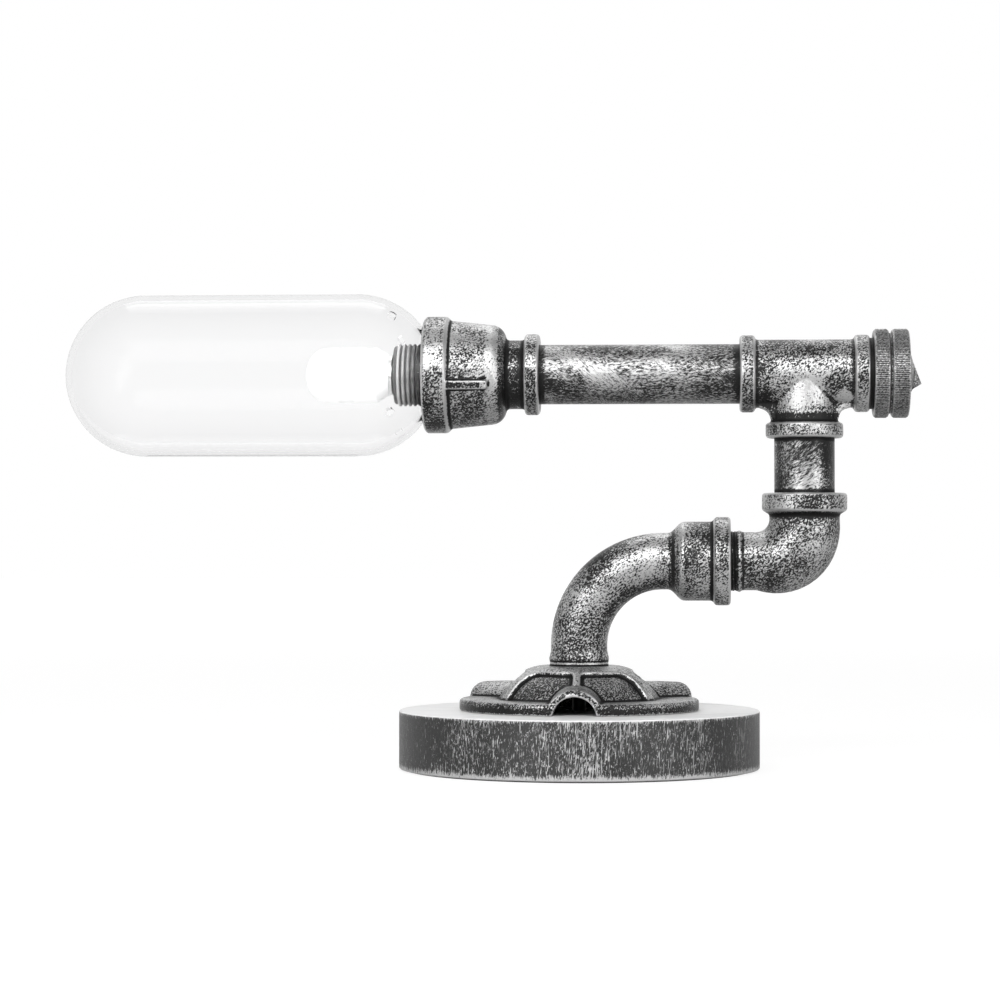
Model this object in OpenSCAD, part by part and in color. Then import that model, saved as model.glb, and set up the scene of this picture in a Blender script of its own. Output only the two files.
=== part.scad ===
/* [Wooden base] */
// Diameter of the round wooden base
base_d = 152.4; // [144:0.2:180]
// Height of the base's top above the table
base_top = 25; // [22:0.5:35]
// Bevel on the base's two edges
base_bevel = 0.4; // [0.4:0.1:1.6]
// Thickness of the foam pad under the base
pad_t = 0.6; // [0.6:0.2:2]
// How far the foam pad stays in from the base's edge
pad_inset = 3; // [2:0.5:6]
// Diameter of the wiring recess under the base
recess_d = 104; // [96:1:112]
// Height of the wiring recess over its cover
recess_h = 10; // [9:0.5:12]
// Thickness of the recess cover
cover_t = 3; // [2.4:0.1:4]
// Width of the ledge that the cover is screwed to
ledge_w = 8; // [7:0.5:9]
// Diameter of the lead hole in the middle of the base
lead_hole_d = 14; // [10:0.5:16]

/* [Base hardware] */
// Number of screws in the cover
cover_screws_n = 4; // [3:1:6]
// Thread diameter of a cover screw
cover_screw_d = 2.8; // [2.4:0.1:3]
// Head diameter of a cover screw
cover_head_d = 5.6; // [4.8:0.1:6]
// Head height of a cover screw
cover_head_h = 1.5; // [1:0.1:1.8]
// Length of a cover screw under its head
cover_screw_l = 10; // [7:0.5:14]
// Diameter of the circle that the flange bolts stand on
bolt_circle_d = 58; // [54:0.5:62]
// Thread diameter of a flange bolt
bolt_d = 5; // [4:0.5:6]
// Head diameter of a flange bolt
bolt_head_d = 9; // [8:0.5:10]
// Head height of a flange bolt
bolt_head_h = 3.5; // [2.5:0.5:4]
// How far a flange bolt is screwed into the flange
bolt_bite = 6; // [4:0.5:6.5]
// Diameter of a washer under a bolt head
washer_d = 15; // [12:0.5:16]
// Thickness of a washer under a bolt head
washer_t = 1; // [0.8:0.1:1.5]
// Bore of the cord grommet at the back of the base
grommet_bore_d = 6.4; // [5:0.1:7]
// Outside diameter of the grommet's sleeve
grommet_d = 10; // [9:0.1:11]
// Diameter of the grommet's head
grommet_head_d = 13.6; // [12:0.2:14]
// Thickness of the grommet's head
grommet_head_t = 2.6; // [2:0.1:3]
// Length of the terminal block
block_l = 22; // [18:0.5:26]
// Width of the terminal block
block_w = 17; // [15:0.5:20]
// Height of the terminal block
block_h = 8.4; // [7.6:0.1:8.8]
// Distance between the terminal block's two poles
pole_gap = 8.5; // [7.5:0.1:9]

/* [Floor flange] */
// Diameter of the flange's disc
flange_d = 101.3; // [96:0.1:110]
// Thickness of the flange's disc
flange_t = 4.9; // [4:0.1:6]
// Height of the flange, base to hub top
flange_h = 18.7; // [18:0.1:21]
// Radius of the flat on top of the hub
hub_top_r = 17; // [16:0.5:18]
// Radius at which the ribs meet the disc
hub_foot_r = 36; // [33:0.5:37]
// Radius of the curve that the ribs follow from the hub's top to the disc
shoulder_r = 27; // [24:1:60]
// How deep the pockets lie under the ribs
pocket_depth = 1.8; // [1:0.1:2.4]
// Height of the band round the hub's top
hub_band_h = 1.8; // [1.4:0.1:5]
// Rounding of the pockets beside the broad ribs
pocket_round = 8; // [4:0.5:9]
// Rounding of the pockets beside the small ribs
small_pocket_round = 2.5; // [1:0.5:4]
// Width of the three broad ribs
rib_w = 5.5; // [4:0.5:8]
// Width of the small rib over each cable arch
small_rib_w = 3.1; // [2:0.1:5]
// Radius of the opening in a cable arch
arch_r = 9.1; // [8:0.1:9.6]
// How far the arch's centre line lies under the base's top
arch_drop = 1.2; // [0.6:0.1:2]
// Wall of a cable arch
arch_wall = 2.8; // [2:0.1:3.4]
// Slope of a cable arch towards the hub
arch_slope = 3; // [0:0.5:5]
// Rounding of a cable arch's outer end
arch_round = 4; // [2:0.5:5]

/* [Pipe fittings] */
// Wall of the cast fittings
cast_wall = 3; // [2.6:0.1:3.4]
// Outside diameter of the male threads on the fittings
male_d = 25; // [24.6:0.1:25.2]
// Length of thread screwed into a fitting
thread_l = 12.5; // [11:0.5:13.5]
// Pitch of the threads that show
thread_pitch = 1.4; // [1:0.1:1.8]
// Depth of the threads that show
thread_depth = 0.7; // [0.4:0.1:0.9]
// Chamfer on the cast rings
ring_chamfer = 0.8; // [0.4:0.1:1.2]

/* [Street bend] */
// Outside diameter of the bend's tube
bend_d = 23.9; // [23:0.1:24.4]
// Radius of the bend's centre line
bend_r = 35.5; // [32:0.5:40]
// Height of the bend's outlet over the wooden base
bend_rise = 62.9; // [60:0.5:70]
// Length of thread that shows over the flange
bend_thread_show = 2.4; // [1.6:0.1:4]
// Height of the flared bead over that thread
bend_bead_h = 3.8; // [2:0.1:4]
// Diameter of the flared bead
bend_bead_d = 25.7; // [25.2:0.1:27]
// Straight neck between the bend and its bell
bell_neck_l = 2.2; // [1:0.1:4]
// Length of the flare into the bell
bell_flare_l = 6.6; // [6:0.1:9]
// Length of the bell's body
bell_body_l = 12.1; // [10:0.1:14]
// Diameter of the bell's body
bell_body_d = 33.4; // [32:0.1:35]
// Length of the bell's ring
bell_ring_l = 7.6; // [6:0.1:9]
// Diameter of the bell's ring
bell_ring_d = 37.3; // [36:0.1:40]

/* [Street elbow] */
// Length of thread that shows beside the bell
elbow_thread_show = 3.4; // [2:0.1:5]
// Outside diameter of the elbow's leg
elbow_leg_d = 24.6; // [24:0.1:25]
// Diameter of the shoulder at the end of the thread
elbow_collar_d = 26.2; // [25.6:0.1:27]
// Distance from the bell's mouth to the riser's axis
elbow_reach = 31.1; // [30:0.5:36]
// Radius of the elbow's inner corner
elbow_inner_r = 5.4; // [4:0.1:6]
// Diameter of the elbow's body under its ring
elbow_top_d = 29.6; // [29.2:0.1:32]
// How much the elbow swells in the turn
elbow_bulge = 1.6; // [0.5:0.1:2]
// Height of the elbow's ring
elbow_ring_h = 7.8; // [6:0.1:9]
// Diameter of the elbow's ring
elbow_ring_d = 35.8; // [34:0.1:38]
// Height of the cone under the elbow's ring
elbow_cone_h = 1.5; // [1:0.1:2.5]

/* [Riser, tee and arm] */
// Outside diameter of the riser nipple
riser_d = 25.4; // [25:0.1:25.6]
// Wall of the riser nipple and the arm pipe
pipe_wall = 2.4; // [2:0.1:3]
// Length of the riser that shows
riser_show = 23.1; // [15:0.5:60]
// Diameter of the tee's run
tee_run_d = 28.8; // [28.4:0.1:30]
// Diameter of the tee's branch
tee_branch_d = 28.2; // [28:0.1:28.6]
// Diameter of the tee's rings
tee_ring_d = 32.6; // [31.6:0.1:34]
// Width of the tee's rings
tee_ring_w = 6.5; // [5:0.1:8]
// Length of the tee's run
tee_run_l = 54.5; // [54:0.5:64]
// Height of the run's axis over the branch's mouth
tee_drop = 27.2; // [26:0.1:32]
// Radius of the fillets between branch and run
tee_fillet = 5; // [3:0.5:5.5]
// Outside diameter of the arm pipe
arm_d = 25.2; // [24.8:0.1:25.4]
// Length of the arm pipe that shows
arm_show = 84.4; // [60:1:150]

/* [Bell reducer] */
// Diameter of the ring at the bell's mouth
cup_ring_d = 49.5; // [48.6:0.1:52]
// Width of the ring at the bell's mouth
cup_ring_w = 10.4; // [8:0.1:12]
// Diameter of the bell's body beside that ring
cup_body_d = 46; // [45.6:0.1:47]
// Diameter of the bell's body at its far end
cup_waist_d = 42.4; // [41.6:0.1:44]
// Radius of the bell's round back
cup_round = 6.5; // [5:0.1:6.8]
// Diameter of the bell's neck
cup_neck_d = 29.2; // [28.8:0.1:30]
// Diameter of the ring at the pipe end
cup_small_ring_d = 34.3; // [33:0.1:36]
// Width of the ring at the pipe end
cup_small_ring_w = 6.4; // [5:0.1:8]
// Length of the whole bell
cup_l = 49; // [49:0.1:56]
// Depth of the socket for the glass
cup_socket_l = 10.2; // [9:0.1:11]
// Depth of the bell's wide cavity
cup_cavity_l = 28.2; // [28:0.1:29.5]
// Diameter of the cavity round the lampholder
cup_cavity_d = 36.4; // [35.6:0.1:37]
// Width of the cast ribs on the bell
cup_rib_w = 3.8; // [3:0.1:5]
// Height of the cast ribs on the bell
cup_rib_h = 1.4; // [0.8:0.1:2]

/* [Glass shade] */
// Outside diameter of the glass
glass_d = 69; // [66:0.5:76]
// Thickness of the glass
glass_t = 2.2; // [1.6:0.1:2.8]
// Length of the glass in front of the bell
glass_l = 154.2; // [140:1:190]
// Outside diameter of the glass neck
glass_neck_d = 40.7; // [40.4:0.1:41]
// Length of the neck inside the bell
glass_neck_in = 9.2; // [7.5:0.1:9.6]
// Number of vent holes in the shoulder
vent_n = 4; // [2:1:6]
// Diameter of a vent hole
vent_d = 3.8; // [3:0.1:5]
// Slope of the vent holes from the lamp's axis
vent_angle = 61; // [56:1:66]
// Turn of the first vent hole from the front
vent_turn = 55; // [40:1:80]

/* [Lampholder and bulb] */
// How far the lampholder stands out of the bell
holder_show = 12.8; // [11:0.1:14]
// Diameter over the lampholder's outer thread
holder_d = 26.5; // [26:0.1:27]
// Pitch of the lampholder's outer thread
holder_pitch = 2.1; // [1.8:0.1:2.6]
// Depth of the lampholder's outer thread
holder_depth = 0.9; // [0.5:0.1:1.1]
// Thread diameter of the bulb's cap
cap_d = 13.8; // [13.6:0.1:13.9]
// Length of the bulb's metal cap
cap_l = 19.5; // [18:0.1:20]
// Diameter of the bulb's glass
bulb_d = 23.3; // [20:0.1:26]
// Length of the bulb's glass
bulb_l = 35.6; // [32:0.5:50]
// Wall of the bulb's glass
bulb_wall = 0.8; // [0.6:0.1:1]
// Diameter of the threaded tube behind the lampholder
stem_tube_d = 10; // [9.6:0.1:10]
// Bore of that tube
stem_tube_bore = 8; // [7.6:0.1:8.2]

/* [Knob and switch] */
// Diameter of the two knurled rings
knob_d = 37.5; // [36:0.1:40]
// Width of the fixed ring
collar_w = 6.4; // [6:0.1:8]
// Gap between the tee and the fixed ring
collar_gap = 1.5; // [1:0.1:2.5]
// Diameter of the collar's dark neck in that gap
collar_neck_d = 30; // [28:0.1:31]
// Width of the groove between the rings
groove_w = 1.2; // [0.8:0.1:2]
// Diameter of the groove between the rings
groove_d = 34; // [32:0.1:35]
// Width of the turning ring
knob_w = 7.2; // [6.4:0.1:9]
// Chamfer on the two rings
knob_chamfer = 1; // [0.5:0.1:1.4]
// Diameter of the low dome on the knob
dome_d = 21; // [18:0.5:24]
// Height of the low dome on the knob
dome_h = 2.4; // [1.5:0.1:3]
// How far the pointer's tip stands off the knob's face
fin_h = 5.6; // [4:0.1:7]
// How far the pointer's tip lies from the knob's axis
fin_offset = 4.5; // [3:0.1:6]
// Thickness of the pointer at its foot
fin_w = 5; // [3:0.1:6]
// Diameter of the switch's body
switch_d = 16; // [15:0.1:16.4]
// Length of the switch's body
switch_l = 16.3; // [14:0.1:17]
// Diameter of the switch's shaft
shaft_d = 6; // [5.8:0.1:6]

/* [Wiring] */
// Diameter of the sheathed lead
lead_d = 6; // [5:0.1:6.4]
// Diameter of one core
core_d = 1.8; // [1.4:0.1:2]
// Distance of a core from the lead's middle, both ways
core_gap = 1.4; // [1.2:0.1:1.5]

/* [Clearances] */
// Clearance of a swivelling thread in its socket, each side
swivel_play = 0.08; // [0.04:0.01:0.1]
// Clearance of a seated piece in its hole, each side
seat_play = 0.1; // [0.05:0.01:0.15]
// Clearance of a bolt in its hole, each side
bolt_play = 0.3; // [0.2:0.05:0.5]
// Gap between two pieces that turn past each other
turn_gap = 0.3; // [0.2:0.05:0.5]

/* [Hidden] */
$fn = 96;
eps = 0.01;
skin = 0.4;
fine_sides = 48;
iron = [0.33, 0.33, 0.34];
dark_iron = [0.24, 0.24, 0.25];
steel = [0.72, 0.72, 0.74];
brass = [0.78, 0.62, 0.3];
black = [0.09, 0.09, 0.09];
white = [0.93, 0.92, 0.9];
clear = [0.85, 0.92, 0.95, 0.35];

base_r = base_d / 2;
wood_z = pad_t;
recess_z = wood_z + cover_t;
roof_z = recess_z + recess_h;
cover_d = recess_d + 2 * ledge_w;
cover_screw_r = (recess_d + ledge_w) / 2;
cover_screw_angles = [for (i = [0:cover_screws_n - 1]) 45 + 360 * i / cover_screws_n];
cover_seat_z = wood_z + cover_head_h + 0.1;
cover_screw_top = cover_seat_z + cover_screw_l;
rib_angles = [-30, 90, 210];
arch_angles = [-90, 30, 150];
bolt_r = bolt_circle_d / 2;
bolt_seat_z = roof_z - washer_t;
cord_z = (recess_z + roof_z) / 2 + 0.6;
grommet_y = base_r - grommet_head_t - 1;
block_angle = arch_angles[2];
block_x = 16;
block_z = roof_z - block_h;
pole_z = block_z + block_h / 2;
pole_r = 2.3;
lead_turn_r = 6;

disc_z = base_top + flange_t;
hub_z = base_top + flange_h;
arch_z = base_top - arch_drop;
dome_across = [hub_foot_r - hub_top_r, hub_z - disc_z];
dome_out = [dome_across[1], dome_across[0]] / norm(dome_across);
dome_centre = [hub_top_r + hub_foot_r, hub_z + disc_z] / 2
    - dome_out * sqrt(pow(shoulder_r, 2) - pow(norm(dome_across) / 2, 2));
hub_band_r = dome_centre[0] + sqrt(pow(shoulder_r, 2) - pow(hub_z - hub_band_h - dome_centre[1], 2));
spigot_z = hub_z - thread_l;
male_r = male_d / 2;
socket_r = male_r + swivel_play;
lead_bore_r = bend_d / 2 - cast_wall;

bend_z = base_top + bend_rise;
bend_turn_z = bend_z - bend_r;
bend_bead_z = hub_z + bend_thread_show;
bell_flare_x = bend_r + bell_neck_l;
bell_body_x = bell_flare_x + bell_flare_l;
bell_ring_x = bell_body_x + bell_body_l;
bell_end_x = bell_ring_x + bell_ring_l;
leg_end_x = bell_end_x - thread_l;

riser_x = bell_end_x + elbow_reach;
leg_body_x = bell_end_x + elbow_thread_show;
turn_x = riser_x - elbow_inner_r - elbow_top_d / 2;
turn_z = bend_z + elbow_inner_r + elbow_leg_d / 2;
elbow_neck_l = 3.3;
elbow_ring_z = turn_z + elbow_neck_l;
elbow_top_z = elbow_ring_z + elbow_ring_h;
elbow_bore_r = 12;
riser_r = riser_d / 2;
riser_end_z = elbow_top_z - thread_l;
riser_bore_r = riser_r - pipe_wall;

tee_z = elbow_top_z + riser_show;
arm_z = tee_z + tee_drop;
riser_top_z = tee_z + thread_l - 0.5;
tee_x0 = riser_x - tee_run_l / 2;
tee_x1 = riser_x + tee_run_l / 2;
tee_bore_r = riser_bore_r + 0.6;
arm_r = arm_d / 2;
arm_bore_r = arm_r - pipe_wall;

cup_x1 = tee_x0 - arm_show;
cup_x0 = cup_x1 - cup_l;
cup_shelf_x = cup_x0 + cup_socket_l;
cup_floor_x = cup_x0 + cup_cavity_l;
cup_neck_x = cup_floor_x + cup_round;
cup_pipe_x = cup_x1 - thread_l + 0.5;
cup_bore_r = 10.8;
sleeve_t = 1;
sleeve_r = glass_neck_d / 2 + swivel_play;
cup_socket_r = sleeve_r + sleeve_t + seat_play;

glass_r = glass_d / 2;
glass_tip_x = cup_x0 - glass_l;
glass_cap_x = glass_tip_x + glass_r;
glass_drop = 0.9;
neck_r = glass_neck_d / 2;
glass_shoulder_x = cup_x0 - glass_drop - sqrt(glass_r * glass_r - neck_r * neck_r);
glass_end_x = cup_x0 + glass_neck_in;
glass_root_l = 10;
glass_root_x = glass_shoulder_x + glass_root_l;

holder_x0 = cup_x0 - holder_show;
plate_t = 2;
plate_x = cup_floor_x - plate_t;
holder_x1 = plate_x;
holder_core_r = holder_d / 2 - holder_depth;
holder_ribs_n = 13;
stem_r = stem_tube_d / 2;
stem_bite = 4;
nut_t = 4;
nut_across = 14;
cap_r = cap_d / 2;
cap_gap = 0.5;
cap_x0 = holder_x0 - cap_gap;
cap_x1 = cap_x0 + cap_l;
tip_r = 3;
tip_l = 3.6;
shell_play = 0.3;
shell_r = cap_r + shell_play;
shell_t = 0.4;
shell_x1 = cap_x1 + tip_l - 0.2;
blade_x = cap_x1 + tip_l + 0.4;
blade_t = 0.5;
holder_wall_x = blade_x + 1.5;
room_x1 = holder_x1 - stem_bite;
room_r = 9.5;
terminal_x = holder_wall_x + 1;
terminal_l = room_x1 - 1 - terminal_x;
bulb_x0 = cap_x0 - 1.9;
bulb_x1 = bulb_x0 - bulb_l;
bulb_r = bulb_d / 2;
bulb_neck_r = 8.5;
bulb_end_l = 9;
stem_l = 12;
stem_tip_x = bulb_x0 - stem_l;
filament_l = 13;
filament_spread = 6;

collar_x = tee_x1 + collar_gap;
groove_x = collar_x + collar_w;
knob_x = groove_x + groove_w;
knob_face_x = knob_x + knob_w;
knob_r = knob_d / 2;
collar_web_x = tee_x1 - 2;
collar_web_t = 2.5;
switch_r = switch_d / 2;
switch_x = collar_web_x - switch_l;
bush_r = 3.5;
bush_x1 = collar_web_x + collar_web_t + 3;
switch_nut_t = 2;
switch_nut_across = 10;
shaft_r = shaft_d / 2;
cap_seat_l = 1.6;
cap_seat_r = 5;
shaft_x1 = knob_face_x - cap_seat_l - 0.7;
set_screw_r = 1.5;
set_screw_x = knob_x + 2.6;
dome_r = (dome_d * dome_d / 4 + dome_h * dome_h) / (2 * dome_h);

sheath_top_z = tee_z + thread_l + 4;
core_turn_r = 6;
low_core_z = arm_z - core_gap;
high_core_z = arm_z + core_gap;

// A row of thread ridges as profile points, as radius and place along the axis
function ridges(start, count, pitch, low, high) = [
    for (i = [0:count - 1], p = [[low, 0.05], [high, 0.35], [high, 0.65], [low, 0.95]])
        [p[0], start + (i + p[1]) * pitch]
];

// Points of an arc in a profile
function arc(cx, cy, r, from, to, steps = 8) = [
    for (i = [0:steps]) let(a = from + (to - from) * i / steps) [cx + r * cos(a), cy + r * sin(a)]
];

// Turns a profile of radius and place along X round the line at height z
module turned_x(profile, z) {
    translate([0, 0, z]) rotate([0, 90, 0]) rotate_extrude() polygon(profile);
}

// Turns a profile of radius and height round the upright line at x
module turned_z(profile, x = 0) {
    translate([x, 0, 0]) rotate_extrude() polygon(profile);
}

// A round bar along X
module bar(x0, x1, r, z, y = 0) {
    translate([x0, y, z]) rotate([0, 90, 0]) cylinder(h = x1 - x0, r = r);
}

// A round post along Z
module post(z0, z1, r, x = 0, y = 0) {
    translate([x, y, z0]) cylinder(h = z1 - z0, r = r);
}

// A hexagonal nut along X with its bore
module hex_nut(x0, t, across, bore_r, z) {
    translate([x0, 0, z]) rotate([0, 90, 0]) difference() {
        cylinder(h = t, r = across / 2 / cos(30), $fn = 6);
        translate([0, 0, -eps]) cylinder(h = t + 2 * eps, r = bore_r);
    }
}

// A quarter turn of round bar in the XZ plane. It turns about (x, z), from angle a to a + 90.
module quarter_turn(x, z, turn_r, r, a, y = 0) {
    translate([x, y, z]) rotate([90, 0, 0]) rotate([0, 0, a])
        rotate_extrude(angle = 90) translate([turn_r, 0]) circle(r);
}

// A cast ring with chamfered edges, as profile points from radius inner at x0 to x1
function ring_profile(x0, x1, inner, r, c) = [
    [inner, x0], [r - c, x0], [r, x0 + c], [r, x1 - c], [r - c, x1], [inner, x1]
];

module wooden_base() {
    color(dark_iron) difference() {
        turned_z([
            [0, wood_z], [base_r - base_bevel, wood_z], [base_r, wood_z + base_bevel],
            [base_r, base_top - base_bevel], [base_r - base_bevel, base_top], [0, base_top]
        ]);
        post(wood_z - eps, recess_z, cover_d / 2 + seat_play);
        post(recess_z - eps, roof_z, recess_d / 2);
        post(roof_z - eps, base_top + eps, lead_hole_d / 2);
        for (a = rib_angles) rotate(a) post(roof_z - eps, base_top + eps, bolt_d / 2 + bolt_play, bolt_r);
        for (a = cover_screw_angles) rotate(a)
            post(recess_z - eps, cover_screw_top + 0.3, cover_screw_d / 2 + seat_play, cover_screw_r);
        translate([0, recess_d / 2 - 3, cord_z]) rotate([-90, 0, 0]) {
            cylinder(h = base_r, r = grommet_d / 2 + seat_play);
            translate([0, 0, grommet_y - recess_d / 2 + 3])
                cylinder(h = base_r, r = grommet_head_d / 2 + seat_play);
        }
    }
}

module base_pad() {
    color(black) post(0, pad_t, base_r - pad_inset);
}

module bottom_cover() {
    color([0.45, 0.33, 0.22]) difference() {
        post(wood_z, recess_z, cover_d / 2);
        for (a = cover_screw_angles) rotate(a) {
            post(wood_z - eps, recess_z + eps, cover_screw_d / 2 + bolt_play, cover_screw_r);
            post(wood_z - eps, cover_seat_z, cover_head_d / 2 + bolt_play, cover_screw_r);
        }
    }
}

module cover_screws() {
    color(steel) for (a = cover_screw_angles) rotate(a) {
        post(cover_seat_z - cover_head_h, cover_seat_z, cover_head_d / 2, cover_screw_r);
        post(cover_seat_z - eps, cover_screw_top, cover_screw_d / 2, cover_screw_r);
    }
}

module cord_grommet() {
    color(black) translate([0, recess_d / 2, cord_z]) rotate([-90, 0, 0]) difference() {
        union() {
            cylinder(h = grommet_y - recess_d / 2, r = grommet_d / 2);
            translate([0, 0, grommet_y - recess_d / 2])
                cylinder(h = grommet_head_t, r = grommet_head_d / 2);
        }
        translate([0, 0, -eps]) cylinder(h = base_r, r = grommet_bore_d / 2);
    }
}

// The dome that the flange's ribs follow, or the pockets with a depth
module flange_dome(depth = 0) {
    rotate_extrude() intersection() {
        translate(dome_centre - depth * dome_out) circle(shoulder_r);
        translate([0, base_top]) square([flange_d, flange_h - depth]);
    }
}

// One rib of the flange along X, with the round corners of the pockets on both sides of it
module flange_rib(w, round) {
    middle = [sqrt(pow(hub_band_r + round, 2) - pow(w / 2 + round, 2)), w / 2 + round];
    translate([0, 0, base_top]) {
        translate([0, -w / 2, 0]) cube([flange_d / 2, w, flange_h + eps]);
        for (side = [0, 1]) mirror([0, side, 0]) linear_extrude(height = flange_h + eps) difference() {
            polygon([[0, 0], [middle[0], 0], middle]);
            translate(middle) circle(round);
        }
    }
}

// One cable arch's solid, along the direction a
module arch_shell(a) {
    intersection() {
        rotate(a) translate([flange_d / 2, 0, arch_z]) rotate([0, arch_slope - 90, 0])
            cylinder(h = flange_d / 2, r = arch_r + arch_wall);
        turned_z(concat(
            [[0, base_top], [flange_d / 2 - 0.3, base_top]],
            arc(flange_d / 2 - 0.3 - arch_round, disc_z + 2.5, arch_round, 0, 90),
            [[0, disc_z + 2.5 + arch_round]]
        ));
    }
}

module floor_flange() {
    color(dark_iron) difference() {
        union() {
            turned_z([
                [0, base_top], [flange_d / 2 - 0.3, base_top], [flange_d / 2, base_top + 0.6],
                [flange_d / 2, disc_z - 0.9], [flange_d / 2 - 0.9, disc_z], [0, disc_z]
            ]);
            flange_dome(pocket_depth);
            intersection() {
                flange_dome();
                union() {
                    post(base_top, hub_z + eps, hub_band_r);
                    for (a = rib_angles) rotate(a) flange_rib(rib_w, pocket_round);
                    for (a = arch_angles) rotate(a) flange_rib(small_rib_w, small_pocket_round);
                }
            }
            for (a = arch_angles) arch_shell(a);
        }
        for (a = arch_angles) rotate(a) bar(0, flange_d, arch_r, arch_z);
        post(base_top - eps, spigot_z + eps, lead_bore_r);
        post(spigot_z - 0.5, hub_z + eps, socket_r);
        for (a = rib_angles) rotate(a)
            post(base_top - eps, base_top + bolt_bite + 0.6, bolt_d / 2 + swivel_play, bolt_r);
    }
}

module flange_bolts() {
    color(steel) for (a = rib_angles) rotate(a) {
        post(bolt_seat_z - bolt_head_h, bolt_seat_z, bolt_head_d / 2, bolt_r);
        post(bolt_seat_z - eps, base_top + bolt_bite, bolt_d / 2, bolt_r);
    }
}

module flange_washers() {
    color(steel) for (a = rib_angles) rotate(a) difference() {
        post(bolt_seat_z, roof_z, washer_d / 2, bolt_r);
        post(bolt_seat_z - eps, roof_z + eps, bolt_d / 2 + bolt_play, bolt_r);
    }
}

// Places a piece at each pole of the terminal block, on its centre line
module at_poles() {
    rotate(block_angle) for (y = [-1, 1] * pole_gap / 2) translate([block_x, y, pole_z]) children();
}

// Places a piece at each screw of the terminal block, at its lower face
module at_terminal_screws() {
    at_poles() for (x = [0.25, 0.75] * block_l) translate([x, 0, -block_h / 2]) children();
}

module terminal_block() {
    color(white) difference() {
        rotate(block_angle) translate([block_x, -block_w / 2, block_z]) cube([block_l, block_w, block_h]);
        at_poles() rotate([0, 90, 0]) translate([0, 0, -eps])
            cylinder(h = block_l + 2 * eps, r = pole_r + seat_play);
        at_terminal_screws() translate([0, 0, -eps]) cylinder(h = block_h / 2, r = 1.9);
    }
}

module terminal_inserts() {
    color(brass) difference() {
        at_poles() translate([1, 0, 0]) rotate([0, 90, 0]) cylinder(h = block_l - 2, r = pole_r);
        at_poles() rotate([0, 90, 0]) cylinder(h = block_l, r = 1.3);
        at_terminal_screws() cylinder(h = block_h / 2, r = 1.3);
    }
}

module terminal_screws() {
    color(steel) at_terminal_screws() difference() {
        union() {
            translate([0, 0, 0.4]) cylinder(h = 1.2, r = 1.75);
            translate([0, 0, 1]) cylinder(h = block_h / 2 - 1 - 1.4, r = 1.2);
        }
        translate([-2, -0.25, 0]) cube([4, 0.5, 0.9]);
    }
}

module lead_in_base() {
    color(black) rotate(block_angle) {
        bar(lead_turn_r, block_x, lead_d / 2, pole_z);
        quarter_turn(lead_turn_r, pole_z + lead_turn_r, lead_turn_r, lead_d / 2, 180);
        post(pole_z + lead_turn_r, spigot_z - 0.2, lead_d / 2);
    }
}

module street_bend() {
    color(iron) difference() {
        union() {
            turned_z(concat(
                [[0, spigot_z], [male_r - 0.6, spigot_z], [male_r, spigot_z + 0.6], [male_r, hub_z]],
                ridges(hub_z, 2, bend_thread_show / 2, male_r - thread_depth, male_r),
                [
                    [male_r, bend_bead_z], [bend_bead_d / 2, bend_bead_z + 0.5],
                    [bend_bead_d / 2 - 0.3, bend_bead_z + 1.3], [bend_d / 2, bend_bead_z + bend_bead_h],
                    [0, bend_bead_z + bend_bead_h]
                ]
            ));
            post(bend_bead_z + 1, bend_turn_z, bend_d / 2);
            quarter_turn(bend_r, bend_turn_z, bend_r, bend_d / 2, 90);
            bar(bend_r, bell_flare_x, bend_d / 2, bend_z);
            turned_x(concat(
                [[0, bell_flare_x], [bend_d / 2, bell_flare_x]],
                [for (i = [1:7]) let(t = i / 8)
                    [bend_d / 2 + (bell_body_d - bend_d) / 2 * (1 - cos(180 * t)) / 2,
                        bell_flare_x + bell_flare_l * t]],
                [
                    [bell_body_d / 2, bell_body_x], [bell_body_d / 2, bell_ring_x],
                    [bell_ring_d / 2 - ring_chamfer, bell_ring_x + 0.6],
                    [bell_ring_d / 2, bell_ring_x + 1.4], [bell_ring_d / 2, bell_end_x - ring_chamfer],
                    [bell_ring_d / 2 - ring_chamfer, bell_end_x], [0, bell_end_x]
                ]
            ), bend_z);
        }
        post(spigot_z - eps, bend_turn_z, lead_bore_r);
        quarter_turn(bend_r, bend_turn_z, bend_r, lead_bore_r, 90);
        bar(bend_r, bell_end_x, lead_bore_r, bend_z);
        bar(leg_end_x - 0.5, bell_end_x + eps, socket_r, bend_z);
    }
}

module lead_in_bend() {
    color(black) {
        post(spigot_z, bend_turn_z, lead_d / 2);
        quarter_turn(bend_r, bend_turn_z, bend_r, lead_d / 2, 90);
        bar(bend_r, leg_end_x - 0.2, lead_d / 2, bend_z);
    }
}

// The elbow's radius at a share s of its turn
function elbow_radius(s) =
    elbow_leg_d / 2 + (elbow_top_d - elbow_leg_d) / 2 * s + elbow_bulge * sin(180 * s);

// One ring of the elbow's skin: its centre, the direction across it in the XZ plane, and its radius
function elbow_ring_at(s) = let(a = -90 + 90 * s, r = elbow_radius(s), d = elbow_inner_r + r)
    [[turn_x + d * cos(a), turn_z + d * sin(a)], [cos(a), sin(a)], r];

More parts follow.
